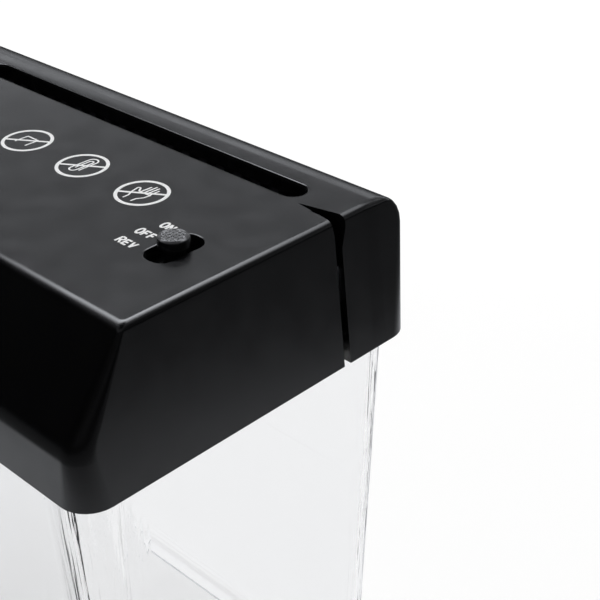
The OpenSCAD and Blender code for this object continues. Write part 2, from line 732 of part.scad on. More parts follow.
module case_screws() {
    color("silver") for (sx = [-1, 1], sy = [-1, 1])
        translate([sx * post_x, sy * post_y, head_z + 3 - screw_head[1]]) difference() {
            union() {
                cylinder(h = screw_head[1], r = screw_head[0]);
                cylinder(h = screw_head[1] + split_h + 8, r = screw_r);
            }
            for (turn = [0, 90]) rotate([0, 0, turn]) translate([-1.6, -0.35, -over]) cube([3.2, 0.7, over + 1.1]);
        }
}

// ---------------------------------------------------------------- cells and contacts

module battery(i) {
    // the nub points to the rear on every second cell
    turn = i % 2 == 0 ? 0 : 180;
    body = cell_len - nub_len;
    y = turn == 0 ? bay_y1 - contact_t - cell_len : bay_y0 + contact_t + cell_len;
    translate([cell_x(i), y, cell_z]) rotate([0, 0, turn]) rotate([-90, 0, 0]) {
        color("#4f5357") cylinder(h = body, r = cell_r);
        color("silver") translate([0, 0, body]) cylinder(h = nub_len, r = nub_r);
    }
}

// A tapering spring, drawn as its closed-up turns
module contact_spring() {
    wire = spring_len / 4;
    for (k = [0:2]) translate([0, 0, wire + k * wire])
        rotate_extrude() translate([4.6 - k * 0.9, 0]) circle(wire, $fn = 20);
}

// Contact plates from cell a to cell b at one end of the bay; springs face the flat cell ends
module contact(a, b, rear) {
    y = rear ? bay_y1 - contact_t : bay_y0;
    translate([cell_x(a) - 5.5, y, contact_z]) cube([cell_x(b) - cell_x(a) + 11, contact_t, contact_h]);
    for (i = [a:b]) if ((i % 2 == 1) == rear)
        translate([cell_x(i), rear ? y : y + contact_t, cell_z]) rotate([rear ? 90 : -90, 0, 0])
            contact_spring();
}

module front_contacts() {
    color("#c8c9c4") {
        contact(0, 0, false);
        for (i = [1:2:cells - 3]) contact(i, i + 1, false);
        contact(cells - 1, cells - 1, false);
    }
}

module rear_contacts() {
    color("#c8c9c4") for (i = [0:2:cells - 2]) contact(i, i + 1, true);
}

// ---------------------------------------------------------------- cutter frame

module frame_holes() {
    for (p = [front_shaft_at, rear_shaft_at]) translate(p) circle(bush_r);
    for (p = rod_places) translate(p) circle(rod_r);
}

module drive_plate() {
    front = motor_at[0] - motor_r - 1.3;
    top = comb_high;
    color("#a9adb0") along_x(plate_out) linear_extrude(plate_t) difference() {
        polygon([[front, floor_z], [low_rear, floor_z], [low_rear, low_z], [rear_in, low_z],
                 [rear_in, top - 5.5], [rear_in - 3, top], [front + 8, top], [front, top - 12]]);
        frame_holes();
        for (p = [gear_1_at, gear_2_at]) translate(p) circle(axle_r);
        translate(motor_at) {
            circle(3.05);
            for (s = [-1, 1]) translate([0, s * 8]) circle(1.3);
        }
    }
}

module end_plate() {
    top = comb_high;
    color("#a9adb0") along_x(plate_x1) linear_extrude(plate_t) difference() {
        polygon([[slot_y - 16, floor_z], [low_rear, floor_z], [low_rear, low_z], [rear_in, low_z],
                 [rear_in, top - 5.5], [rear_in - 3, top], [slot_y - 16, top]]);
        frame_holes();
    }
}

module tie_rod(i) {
    color("#8d9194") bar_x(plate_out - 0.4, plate_x1 + plate_t + 0.4, rod_places[i], rod_r);
}

// Outline of a stripper finger on the front side; the rear one is its mirror image
module finger_outline(low_edge, out) {
    nip = 1.5;
    difference() {
        polygon([[-slot_w / 2 - 0.4, comb_high], [-nip, shaft_z + 5], [-nip, shaft_z - 5],
                 [-slot_w / 2 - 1.5, comb_low], [low_edge, comb_low], [low_edge, low_z],
                 [out, low_z], [out, comb_high - 4], [out + 2, comb_high]]);
        translate([-shaft_gap / 2, shaft_z]) circle(spacer_r + pass_gap);
        translate([shaft_gap / 2, shaft_z]) circle(disc_r + pass_gap);
    }
}

// A comb: fingers between the discs of one shaft, joined by a bar above and a bar below
module comb(side, first) {
    out = max(-(shaft_gap / 2 + spacer_r + 1.6), side > 0 ? -(rear_in - slot_y) : -100);
    low_edge = side > 0 ? -(low_rear - slot_y) : out;
    translate([0, slot_y, 0]) scale([1, -side, 1]) difference() {
        union() {
            for (x = [first:disc_pitch:hex_x1 - finger_t]) if (x + finger_t / 2 < hex_x1)
                along_x(x - finger_t / 2) linear_extrude(finger_t) finger_outline(low_edge, out);
            for (up = [-1, 1]) {
                p = [-(shaft_gap / 2 + rod_in), shaft_z + up * rod_rise];
                block([hex_x0, max(p[0] - 2.3, up < 0 ? low_edge : out), max(comb_low, p[1] - 2.3)],
                      [hex_x1, p[0] + 3.6, min(comb_high, p[1] + 2.3)]);
            }
        }
        for (up = [-1, 1])
            bar_x(hex_x0 - over, hex_x1 + over, [-(shaft_gap / 2 + rod_in), shaft_z + up * rod_rise], rod_r + run_fit);
    }
}

module front_comb() {
    color("#202124") comb(-1, disc_x0 + disc_pitch / 2);
}

module rear_comb() {
    color("#202124") comb(1, disc_x0);
}

// ---------------------------------------------------------------- cutter shafts

hex_r = hex_af / 2 / cos(30);

module cutter_shaft(p, left_end) {
    along_x(left_end, p) linear_extrude(plane_a + gear_gap - left_end) drive_flat(0);
    bar_x(plate_out, hex_x0, p, journal_r);
    along_x(hex_x0, p) linear_extrude(hex_x1 - hex_x0) circle(hex_r, $fn = 6);
    bar_x(hex_x1, plate_x1 + plate_t + 0.5, p, journal_r);
}

module front_shaft() {
    color("#9a9ea1") cutter_shaft(front_shaft_at, plane_end - 0.6);
}

module rear_shaft() {
    color("#9a9ea1") cutter_shaft(rear_shaft_at, plane_a - stage_face[0] - 0.4);
}

// Cutting discs on one shaft, with gripping notches round the rim
module cutter_discs(p, first) {
    for (i = [0:discs - 1]) along_x(first + i * disc_pitch - disc_t / 2, p)
        linear_extrude(disc_t) difference() {
            circle(disc_r);
            circle(hex_r, $fn = 6);
            for (k = [0:disc_notches - 1]) rotate(k * 360 / disc_notches + i * 9)
                translate([disc_r, 0]) circle(0.7, $fn = 4);
        }
}

module front_discs() {
    color("#8f9396") cutter_discs(front_shaft_at, disc_x0);
}

module rear_discs() {
    color("#8f9396") cutter_discs(rear_shaft_at, disc_x0 + disc_pitch / 2);
}

// Rings that keep the discs apart, and a longer one at each end
module spacers(p, first) {
    last = first + (discs - 1) * disc_pitch + disc_t / 2;
    edges = concat([[hex_x0, first - disc_t / 2]],
        [for (i = [0:discs - 2]) [first + i * disc_pitch + disc_t / 2, first + (i + 1) * disc_pitch - disc_t / 2]],
        [[last, hex_x1]]);
    for (e = edges) along_x(e[0], p) linear_extrude(e[1] - e[0]) difference() {
        circle(spacer_r);
        circle(hex_r, $fn = 6);
    }
}

module front_spacers() {
    color("#e3e1d8") spacers(front_shaft_at, disc_x0);
}

module rear_spacers() {
    color("#e3e1d8") spacers(rear_shaft_at, disc_x0 + disc_pitch / 2);
}

// Flanged bushes: 1 and 2 in the drive plate, 3 and 4 in the end plate
module bush(i) {
    p = i % 2 == 0 ? front_shaft_at : rear_shaft_at;
    left = i < 2;
    color("#b08d57") difference() {
        union() {
            bar_x(left ? plate_out : plate_x1, left ? plate_x0 : plate_x1 + plate_t, p, bush_r);
            bar_x(left ? plate_x0 : plate_x1 - bush_flange, left ? plate_x0 + bush_flange : plate_x1, p, bush_flange_r);
        }
        bar_x(plate_out - over, plate_x1 + plate_t + over, p, journal_r + run_fit);
    }
}

// ---------------------------------------------------------------- gears

module sync_gear(p, phase) {
    difference() {
        along_x(plane_a - stage_face[0], p) toothed(sync_teeth, sync_module, stage_face[0], phase);
        along_x(plane_a - stage_face[0] - over, p) linear_extrude(stage_face[0] + 2 * over) drive_flat(0);
    }
}

module front_sync_gear() {
    color("#7f8386") sync_gear(front_shaft_at, 0);
}

module rear_sync_gear() {
    color("#7f8386") sync_gear(rear_shaft_at, sync_phase);
}

module main_gear() {
    n = stage_3[1];
    m = stage_module[2];
    web = m * (n / 2 - 2.6);
    color("#e8e6dd") difference() {
        along_x(plane_end, front_shaft_at) toothed(n, m, stage_face[2], main_phase);
        for (x = [plane_end - over, plane_c - 1.4]) along_x(x, front_shaft_at)
            linear_extrude(1.4 + over) difference() {
                circle(web);
                circle(journal_r + 2.4);
            }
        along_x(plane_end - over, front_shaft_at) linear_extrude(stage_face[2] + 2 * over) drive_flat(0);
    }
}

// A large gear with its pinion on the left, turning on an axle
module compound_gear(p, right, face, large, small, large_m, small_m, small_face, phase_l, phase_s) {
    web = large_m * (large / 2 - 2.6);
    difference() {
        union() {
            difference() {
                along_x(right - face, p) toothed(large, large_m, face, phase_l);
                along_x(right - 1.3, p) linear_extrude(1.3 + over) difference() {
                    circle(web);
                    circle(axle_r + 2.2);
                }
            }
            along_x(right - face - small_face, p) toothed(small, small_m, small_face + thin, phase_s);
        }
        bar_x(right - face - small_face - over, right + over, p, axle_r + run_fit);
    }
}

module gear_1() {
    color("#efede4") compound_gear(gear_1_at, plane_a, stage_face[0], stage_1[1], stage_2[0],
        stage_module[0], stage_module[1], stage_face[1] + gear_gap + 0.4, gear_1_phase, gear_1_phase);
}

module gear_2() {
    color("#efede4") compound_gear(gear_2_at, plane_b, stage_face[1], stage_2[1], stage_3[0],
        stage_module[1], stage_module[2], stage_face[2] + gear_gap + 0.4, gear_2_phase, gear_2_phase);
}

gear_ends = [plane_b - stage_face[1] - 0.4, plane_end - 0.4];

module gear_axle(i) {
    p = [gear_1_at, gear_2_at][i];
    rights = [plane_a, plane_b];
    color("#9a9ea1") {
        bar_x(gear_ends[i] - 1.8, plate_x0, p, axle_r);
        // shoulder between the plate and the gear
        bar_x(rights[i] + 0.2, plate_out, p, axle_r + 0.8);
    }
}

module axle_clips() {
    color("#5b5f62") for (i = [0, 1]) difference() {
        bar_x(gear_ends[i] - 1, gear_ends[i] - 0.3, [gear_1_at, gear_2_at][i], axle_r + 1.3);
        bar_x(gear_ends[i] - 2, gear_ends[i], [gear_1_at, gear_2_at][i], axle_r);
    }
}

// ---------------------------------------------------------------- motor

module motor_can() {
    color("#a4a8ab") difference() {
        union() {
            bar_x(plate_x0, plate_x0 + motor_len, motor_at, motor_r);
            bar_x(plate_out, plate_x0, motor_at, 3);
        }
        bar_x(plate_out - over, plate_x0 + motor_len - 3, motor_at, motor_shaft_r + run_fit);
        for (s = [-1, 1]) bar_x(plate_x0 - over, plate_x0 + 3.5, motor_at + [0, s * 8], 1.3);
    }
}

module motor_end_cap() {
    x = plate_x0 + motor_len;
    color("#26272a") {
        bar_x(x, x + cap_t, motor_at, motor_r - 0.8);
        bar_x(x + cap_t, x + cap_t + 1.6, motor_at, 3.4);
    }
}

module motor_terminals() {
    x = plate_x0 + motor_len + cap_t;
    color("#c9a94e") for (s = [-1, 1])
        block([x, motor_at[0] + s * 7.5 - 1.2, motor_at[1] - 0.2],
              [x + terminal_len, motor_at[0] + s * 7.5 + 1.2, motor_at[1] + 0.2]);
}

module motor_shaft() {
    color("#9a9ea1") bar_x(plane_a - stage_face[0] - 0.6, plate_x0 + motor_len - 3.4, motor_at, motor_shaft_r);
}

module motor_pinion() {
    color("#b08d57") difference() {
        along_x(plane_a - stage_face[0], motor_at) toothed(stage_1[0], stage_module[0], stage_face[0], pinion_phase);
        bar_x(plane_a - stage_face[0] - over, plane_a + over, motor_at, motor_shaft_r);
    }
}

module motor_screws() {
    color("silver") for (s = [-1, 1]) {
        bar_x(plate_out, plate_x0 + 3.2, motor_at + [0, s * 8], 1.25);
        bar_x(plate_out - 0.7, plate_out, motor_at + [0, s * 8], 1.9);
    }
}

// ---------------------------------------------------------------- supply socket

module power_socket() {
    back = low_rear;
    color("#1c1d1f") difference() {
        union() {
            block([socket_x - socket_body[0] / 2, back - socket_body[1], socket_z - socket_body[2] / 2],
                  [socket_x + socket_body[0] / 2, back, socket_z + socket_body[2] / 2]);
            translate([socket_x, back, socket_z]) rotate([-90, 0, 0])
                cylinder(h = socket_face - back, r = socket_r + 1.2);
        }
        translate([socket_x, back - 8, socket_z]) rotate([-90, 0, 0]) difference() {
            cylinder(h = head_d, r = socket_r);
            translate([0, 0, -over]) cylinder(h = 8 + over + 1.5, r = 0.9);
        }
    }
}

module socket_board() {
    top = socket_z - socket_body[2] / 2;
    color("#3f6b46") block([socket_x - 5.5, low_rear - socket_body[1] - 3, top - board_t],
                           [socket_x + 5.5, low_rear, top]);
}

// ---------------------------------------------------------------- nodes

top_cover();
chassis();
bin();
battery_door();
switch_knob();
switch_stem();
switch_body();
switch_terminals();
switch_screws();
opener_blade();
case_screws();
for (i = [1:cells]) battery(i - 1);
front_contacts();
rear_contacts();
drive_plate();
end_plate();
for (i = [1:4]) tie_rod(i - 1);
front_comb();
rear_comb();
front_shaft();
rear_shaft();
front_discs();
rear_discs();
front_spacers();
rear_spacers();
for (i = [1:4]) bush(i - 1);
front_sync_gear();
rear_sync_gear();
main_gear();
gear_1();
gear_2();
for (i = [1:2]) gear_axle(i - 1);
axle_clips();
motor_can();
motor_end_cap();
motor_terminals();
motor_shaft();
motor_pinion();
motor_screws();
power_socket();
socket_board();
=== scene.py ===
"""Looks for a desktop strip-cut paper shredder: finishes, smoothed shells, print, knob and studio.

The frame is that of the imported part: +X right, +Y back, +Z up, the origin under the middle of the bin.
Sizes in the finishes and the sub-assemblies are in millimetres, as they are on a drawing, and turn into
metres where a mesh or a node takes them. The studio's are in metres.
"""

import logging
import math
from abc import ABC, abstractmethod
from dataclasses import dataclass, field
from enum import Enum
from typing import Any, Mapping, Sequence

import bmesh
import bpy
import numpy as np
from bpy.types import Material, Mesh, Node, NodeSocket, NodeTree, Object
from mathutils import Matrix, Vector


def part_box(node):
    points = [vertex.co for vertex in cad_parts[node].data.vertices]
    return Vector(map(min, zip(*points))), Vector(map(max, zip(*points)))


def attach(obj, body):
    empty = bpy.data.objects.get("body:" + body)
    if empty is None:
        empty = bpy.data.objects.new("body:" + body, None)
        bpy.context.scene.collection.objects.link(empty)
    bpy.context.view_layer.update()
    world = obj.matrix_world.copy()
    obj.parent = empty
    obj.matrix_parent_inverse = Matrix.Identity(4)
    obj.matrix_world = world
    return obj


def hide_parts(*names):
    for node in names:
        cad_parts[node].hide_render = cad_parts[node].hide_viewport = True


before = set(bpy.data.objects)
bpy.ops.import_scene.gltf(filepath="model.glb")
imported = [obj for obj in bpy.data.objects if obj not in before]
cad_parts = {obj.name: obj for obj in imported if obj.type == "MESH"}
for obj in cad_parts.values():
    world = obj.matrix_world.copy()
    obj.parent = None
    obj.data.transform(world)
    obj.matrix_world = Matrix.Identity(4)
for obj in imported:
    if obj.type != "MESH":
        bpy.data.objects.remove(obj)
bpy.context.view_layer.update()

LOG = logging.getLogger("shredder")
MM = 0.001
# a noise texture stays nearly always between these two values
NOISE_LOW, NOISE_HIGH = 0.3, 0.7
Array = np.ndarray
Link = NodeSocket | float | Sequence[float]


# ------------------------------------------------------------------ colours and nodes


def linear(code: str) -> tuple[float, float, float, float]:
    """Turns an sRGB hex colour into linear light.

    Args:
        code: six hex digits after a hash.

    Returns:
        Red, green and blue from 0 to 1, and an alpha of 1.
    """
    parts = [int(code[i:i + 2], 16) / 255 for i in (1, 3, 5)]
    r, g, b = (c / 12.92 if c <= 0.04045 else ((c + 0.055) / 1.055) ** 2.4 for c in parts)
    return (r, g, b, 1.0)


def add_node(tree: NodeTree, kind: str, links: Mapping[str | int, Link] | None = None,
             **settings: Any) -> Node:
    """Adds a shader node with its settings, values and links.

    Args:
        tree: the tree that the node goes into.
        kind: the node's type, without the ShaderNode that they all start with.
        links: for each input, the socket that feeds it or its value.
        settings: properties of the node itself.

    Returns:
        The new node.
    """
    node = tree.nodes.new(f"ShaderNode{kind}")
    for name, value in settings.items():
        setattr(node, name, value)
    for key, value in (links or {}).items():
        if isinstance(value, NodeSocket):
            tree.links.new(value, node.inputs[key])
        else:
            node.inputs[key].default_value = value
    return node


def new_tree(name: str) -> tuple[Material, NodeTree]:
    """Makes an empty node material.

    Args:
        name: the material's name.

    Returns:
        The material and its tree.
    """
    material = bpy.data.materials.new(name)
    material.use_nodes = True
    material.node_tree.nodes.clear()
    return material, material.node_tree


def per_mm(size: float) -> float:
    """The texture scale at which one cycle of a pattern is size millimetres long."""
    return 1 / (size * MM)


def mottled(tree: NodeTree, place: NodeSocket, size: float, thin: str,
            thick: str) -> tuple[NodeSocket, NodeSocket]:
    """Two near colours that take turns in soft clouds.

    Args:
        tree: the tree that the nodes go into.
        place: where the pattern is looked up.
        size: size of a cloud in millimetres.
        thin: sRGB colour where the clouds are thin.
        thick: sRGB colour where they are thick.

    Returns:
        The colour, and the thickness of the clouds.
    """
    clouds = add_node(tree, "TexNoise", {"Vector": place, "Scale": per_mm(size), "Detail": 3.0})
    share = add_node(tree, "MapRange", {0: clouds.outputs["Fac"], 1: NOISE_LOW, 2: NOISE_HIGH})
    tint = add_node(tree, "Mix", {0: share.outputs[0], 6: linear(thin), 7: linear(thick)}, data_type="RGBA")
    return tint.outputs[2], clouds.outputs["Fac"]


# ------------------------------------------------------------------ finishes


@dataclass(frozen=True)
class Finish(ABC):
    """A finish, named for what it is, whose patterns feed one shader."""

    name: str

    @abstractmethod
    def surface(self, tree: NodeTree, place: NodeSocket) -> dict[str, Link]:
        """Adds the patterns of the finish.

        Args:
            tree: the material's nodes.
            place: the object's own coordinates.

        Returns:
            For each input of the shader that the finish sets, its value or the socket that feeds it.
        """

    def build(self) -> Material:
        """Makes the material.

        Returns:
            A material with one shader, fed by the patterns of the finish.
        """
        material, tree = new_tree(self.name)
        place = add_node(tree, "TexCoord").outputs["Object"]
        shader = add_node(tree, "BsdfPrincipled", self.surface(tree, place))
        add_node(tree, "OutputMaterial", {"Surface": shader.outputs[0]})
        return material


@dataclass(frozen=True)
class MouldedPlastic(Finish):
    """Injection-moulded plastic from a spark-eroded tool: a fine even grain that softens the sheen.

    The real grain is about a tenth of a millimetre across and is drawn coarser, so that it shows. A paler
    colour comes in between two heights and stays above them: the top is painted lighter, a painted sheen
    where the lamps above light it.
    """

    colour: str
    second: str
    roughness: float = 0.42
    ior: float = 1.5
    cloud: float = 16.0
    grain: float = 0.45
    grain_depth: float = 0.012
    polish: float = 7.0
    polish_swing: float = 0.03
    dust: float = 0.0
    speck_pitch: float = 3.2
    speck_edge: tuple[float, float] = (0.045, 0.025)
    speck_colour: str = "#56575a"
    painted_sheen: str = ""
    painted_sheen_from: tuple[float, float] = (155.55, 155.80)

    def surface(self, tree: NodeTree, place: NodeSocket) -> dict[str, Link]:
        """Two near colours in soft clouds over the grain, with dust specks and a painted sheen on top where
        the finish has them.

        Args:
            tree: the material's nodes.
            place: the object's own coordinates.

        Returns:
            The inputs of the shader.
        """
        tint, _ = mottled(tree, place, self.cloud, self.colour, self.second)
        if self.dust:
            share = self.specks(tree, place)
            tint = add_node(tree, "Mix", {0: share, 6: tint, 7: linear(self.speck_colour)},
                            data_type="RGBA").outputs[2]
        # the top is painted paler above two heights: a painted sheen where the lamps above light it
        if self.painted_sheen:
            height = add_node(tree, "SeparateXYZ", {0: place}).outputs["Z"]
            low, high = (z * MM for z in self.painted_sheen_from)
            sheen_share = add_node(tree, "MapRange", {0: height, 1: low, 2: high, 3: 0.0, 4: 1.0}).outputs[0]
            tint = add_node(tree, "Mix", {0: sheen_share, 6: tint, 7: linear(self.painted_sheen)}, data_type="RGBA").outputs[2]
        grain = add_node(tree, "TexNoise",
                         {"Vector": place, "Scale": per_mm(self.grain), "Detail": 2.0, "Roughness": 0.6})
        relief = add_node(tree, "Bump", {"Height": grain.outputs["Fac"], "Distance": self.grain_depth * MM})
        polish = add_node(tree, "TexNoise", {"Vector": place, "Scale": per_mm(self.polish), "Detail": 4.0})
        gloss = add_node(tree, "MapRange", {
            0: polish.outputs["Fac"],
            1: NOISE_LOW,
            2: NOISE_HIGH,
            3: self.roughness - self.polish_swing,
            4: self.roughness + self.polish_swing,
        })
        return {
            "Base Color": tint,
            "Roughness": gloss.outputs[0],
            "IOR": self.ior,
            "Normal": relief.outputs[0],
        }

    def specks(self, tree: NodeTree, place: NodeSocket) -> NodeSocket:
        """Lint and dust that cling to the plastic.

        In the cells of a pattern with a speck's pitch, of which the share dust is picked by the cell's
        colour, a speck lies round the middle. Its edge is soft over the two distances of speck_edge, in
        pitches.

        Args:
            tree: the material's nodes.
            place: the object's own coordinates.

        Returns:
            1 on a speck and 0 off it.
        """
        cells = add_node(tree, "TexVoronoi", {"Vector": place, "Scale": per_mm(self.speck_pitch)})
        outer, inner = self.speck_edge
        spots = add_node(tree, "MapRange", {0: cells.outputs[0], 1: outer, 2: inner, 3: 0, 4: 1})
        seldom = add_node(tree, "Math", {0: cells.outputs[1], 1: 1 - self.dust}, operation="GREATER_THAN")
        specks = add_node(tree, "Math", {0: spots.outputs[0], 1: seldom.outputs[0]}, operation="MULTIPLY")
        return specks.outputs[0]


@dataclass(frozen=True)
class ClearPolystyrene(Finish):
    """Clear moulded polystyrene: polished walls, with flow lines down the draw of the mould at the corners.

    The corners stand at the distances of corner along X and Y, and the relief comes in over the length of
    grow before them. The lines are drawn out along Z by one over flow_draw.
    """

    tint: str = "#f9f9f9"
    flow: float = 2.0
    flow_depth: float = 0.55
    flow_draw: float = 0.04
    corner: tuple[float, float] = (84.0, 42.0)
    grow: float = 12.0

    def surface(self, tree: NodeTree, place: NodeSocket) -> dict[str, Link]:
        """Clear plastic with a shallow relief drawn out along Z, which fades away from the corners.

        Args:
            tree: the material's nodes.
            place: the object's own coordinates.

        Returns:
            The inputs of the shader.
        """
        drawn = add_node(tree, "Mapping", {"Vector": place, "Scale": (1.0, 1.0, self.flow_draw)})
        lines = add_node(tree, "TexNoise", {"Vector": drawn.outputs[0], "Scale": per_mm(self.flow)})
        apart = add_node(tree, "VectorMath", {0: place}, operation="ABSOLUTE").outputs[0]
        along = add_node(tree, "SeparateXYZ", {0: apart})
        near = [add_node(tree, "MapRange", {0: along.outputs[axis], 1: (end - self.grow) * MM, 2: end * MM})
                for axis, end in zip("XY", self.corner)]
        corner = add_node(tree, "Math", {0: near[0].outputs[0], 1: near[1].outputs[0]}, operation="MULTIPLY")
        flow = add_node(tree, "Math", {0: lines.outputs["Fac"], 1: corner.outputs[0]}, operation="MULTIPLY")
        relief = add_node(tree, "Bump", {"Height": flow.outputs[0], "Distance": self.flow_depth * MM})
        return {
            "Base Color": linear(self.tint),
            "Roughness": 0.02,
            "IOR": 1.59,
            "Transmission Weight": 1.0,
            "Normal": relief.outputs[0],
        }


class Direction(Enum):
    """The way in which a metal was rolled or ground: its marks are drawn out where the scale is small."""

    Y = (1.0, 0.03, 1.0)
    Z = (1.0, 1.0, 0.03)
    ROUND = (1.0, 1.0, 1.0)


@dataclass(frozen=True)
class Metal(Finish):
    """Bare or plated metal: tool marks along one direction and cloudy handling marks.

    Real tool marks are under a tenth of a millimetre apart and are drawn coarser, so that they show.
    """

    colour: str
    second: str
    roughness: float
    marks: Direction = Direction.ROUND
    mark_size: float = 0.5
    mark_depth: float = 0.006
    cloud: float = 5.0
    swing: float = 0.08

    def surface(self, tree: NodeTree, place: NodeSocket) -> dict[str, Link]:
        """Metal whose tint and gloss wander, over fine tool marks.

        Args:
            tree: the material's nodes.
            place: the object's own coordinates.

        Returns:
            The inputs of the shader.
        """
        tint, _ = mottled(tree, place, self.cloud, self.colour, self.second)
        drawn = add_node(tree, "Mapping", {"Vector": place, "Scale": self.marks.value})
        lines = add_node(tree, "TexNoise",
                         {"Vector": drawn.outputs[0], "Scale": per_mm(self.mark_size), "Detail": 3.0})
        gloss = add_node(tree, "MapRange", {
            0: lines.outputs["Fac"],
            1: NOISE_LOW,
            2: NOISE_HIGH,
            3: self.roughness - self.swing,
            4: self.roughness + self.swing,
        })
        relief = add_node(tree, "Bump", {"Height": lines.outputs["Fac"], "Distance": self.mark_depth * MM})
        return {
            "Base Color": tint,
            "Metallic": 1.0,
            "Roughness": gloss.outputs[0],
            "Normal": relief.outputs[0],
        }


@dataclass(frozen=True)
class Sintered(Finish):
    """Pressed and sintered metal powder: dull, with open pores, which are drawn coarser than they are."""

    colour: str
    pore_colour: str
    pore: float = 0.35
    pore_edge: tuple[float, float] = (0.1, 0.35)
    depth: float = 0.02

    def surface(self, tree: NodeTree, place: NodeSocket) -> dict[str, Link]:
        """Metal with dark pits round the middles of a cell pattern.

        Args:
            tree: the material's nodes.
            place: the object's own coordinates.

        Returns:
            The inputs of the shader.
        """
        cells = add_node(tree, "TexVoronoi", {"Vector": place, "Scale": per_mm(self.pore)})
        inner, outer = self.pore_edge
        pits = add_node(tree, "MapRange", {0: cells.outputs[0], 1: inner, 2: outer, 3: 0, 4: 1})
        tint = add_node(tree, "Mix",
                        {0: pits.outputs[0], 6: linear(self.pore_colour), 7: linear(self.colour)},
                        data_type="RGBA")
        relief = add_node(tree, "Bump", {"Height": pits.outputs[0], "Distance": self.depth * MM})
        return {
            "Base Color": tint.outputs[2],
            "Metallic": 1.0,
            "Roughness": 0.5,
            "Normal": relief.outputs[0],
        }


@dataclass(frozen=True)
class Laminate(Finish):
    """Green glass-fibre board under solder lacquer: the weave of the cloth shows faintly.

    The real threads lie about half a millimetre apart. The weave is drawn coarser, so that it shows: a
    wave texture turns by twenty radians along its unit, so one cycle is 2 pi times thread.
    """

    thread: float = 0.6
    depth: float = 0.02
    valley: str = "#1d5a35"
    crown: str = "#2b6b43"
    turn: float = 20.0

    def surface(self, tree: NodeTree, place: NodeSocket) -> dict[str, Link]:
        """Two crossed sine bands give the weave.

        Args:
            tree: the material's nodes.
            place: the object's own coordinates.

        Returns:
            The inputs of the shader.
        """
        bands = [add_node(tree, "TexWave", {"Vector": place, "Scale": per_mm(self.thread) / self.turn},
                          bands_direction=axis).outputs[0] for axis in "XY"]
        weave = add_node(tree, "Math", {0: bands[0], 1: bands[1]}, operation="MULTIPLY").outputs[0]
        tint = add_node(tree, "Mix", {0: weave, 6: linear(self.valley), 7: linear(self.crown)},
                        data_type="RGBA")
        relief = add_node(tree, "Bump", {"Height": weave, "Distance": self.depth * MM})
        return {
            "Base Color": tint.outputs[2],
            "Roughness": 0.35,
            "Coat Weight": 0.6,
            "Coat Roughness": 0.12,
            "Normal": relief.outputs[0],
        }


@dataclass(frozen=True)
class CellJacket(Finish):
    """Shrink sleeve over a steel cell: a plain dark sleeve with a copper-coloured band at one end.

    The body is given by the places of its two ends along Y, and the steel is bare at both.
    """

    body: tuple[float, float] = (0.0, 50.0)
    band: float = 14.0
    band_behind: bool = True
    bare: float = 0.4
    cloud: float = 1.5
    depth: float = 0.01
    sleeve: tuple[str, str] = ("#25272b", "#2c2e33")
    copper: str = "#a9713f"
    steel: str = "#b4b6b8"

    def surface(self, tree: NodeTree, place: NodeSocket) -> dict[str, Link]:
        """Colour changes with the place along the cell: sleeve, band, and bare steel at both ends.

        Args:
            tree: the material's nodes.
            place: the object's own coordinates.

        Returns:
            The inputs of the shader.
        """
        along = add_node(tree, "SeparateXYZ", {0: place}).outputs["Y"]
        edge = self.body[1] - self.band if self.band_behind else self.body[0] + self.band
        rule = "GREATER_THAN" if self.band_behind else "LESS_THAN"
        banded = add_node(tree, "Math", {0: along, 1: edge * MM}, operation=rule).outputs[0]
        tint, ripple = mottled(tree, place, self.cloud, *self.sleeve)
        tint = add_node(tree, "Mix", {0: banded, 6: tint, 7: linear(self.copper)},
                        data_type="RGBA").outputs[2]
        middle, half = sum(self.body) / 2, (self.body[1] - self.body[0]) / 2 - self.bare
        away = add_node(tree, "Math", {0: along, 1: middle * MM}, operation="SUBTRACT").outputs[0]
        far = add_node(tree, "Math", {0: away}, operation="ABSOLUTE").outputs[0]
        ends = add_node(tree, "Math", {0: far, 1: half * MM}, operation="GREATER_THAN").outputs[0]
        tint = add_node(tree, "Mix", {0: ends, 6: tint, 7: linear(self.steel)}, data_type="RGBA").outputs[2]
        relief = add_node(tree, "Bump", {"Height": ripple, "Distance": self.depth * MM})
        return {
            "Base Color": tint,
            "Metallic": ends,
            "Roughness": 0.3,
            "Normal": relief.outputs[0],
        }


@dataclass(frozen=True)
class PrintedInk(Finish):
    """Pad-printed ink: matt, nearly opaque, a little thin where the grain stands up under it."""

    colour: str
    thin_colour: str
    speck: float = 0.35
    depth: float = 0.006

    def surface(self, tree: NodeTree, place: NodeSocket) -> dict[str, Link]:
        """Ink that thins in fine specks.

        Args:
            tree: the material's nodes.
            place: the object's own coordinates.

        Returns:
            The inputs of the shader.
        """
        tint, specks = mottled(tree, place, self.speck, self.thin_colour, self.colour)
        relief = add_node(tree, "Bump", {"Height": specks, "Distance": self.depth * MM})
        return {
            "Base Color": tint,
            "Roughness": 0.55,
            "Normal": relief.outputs[0],
        }


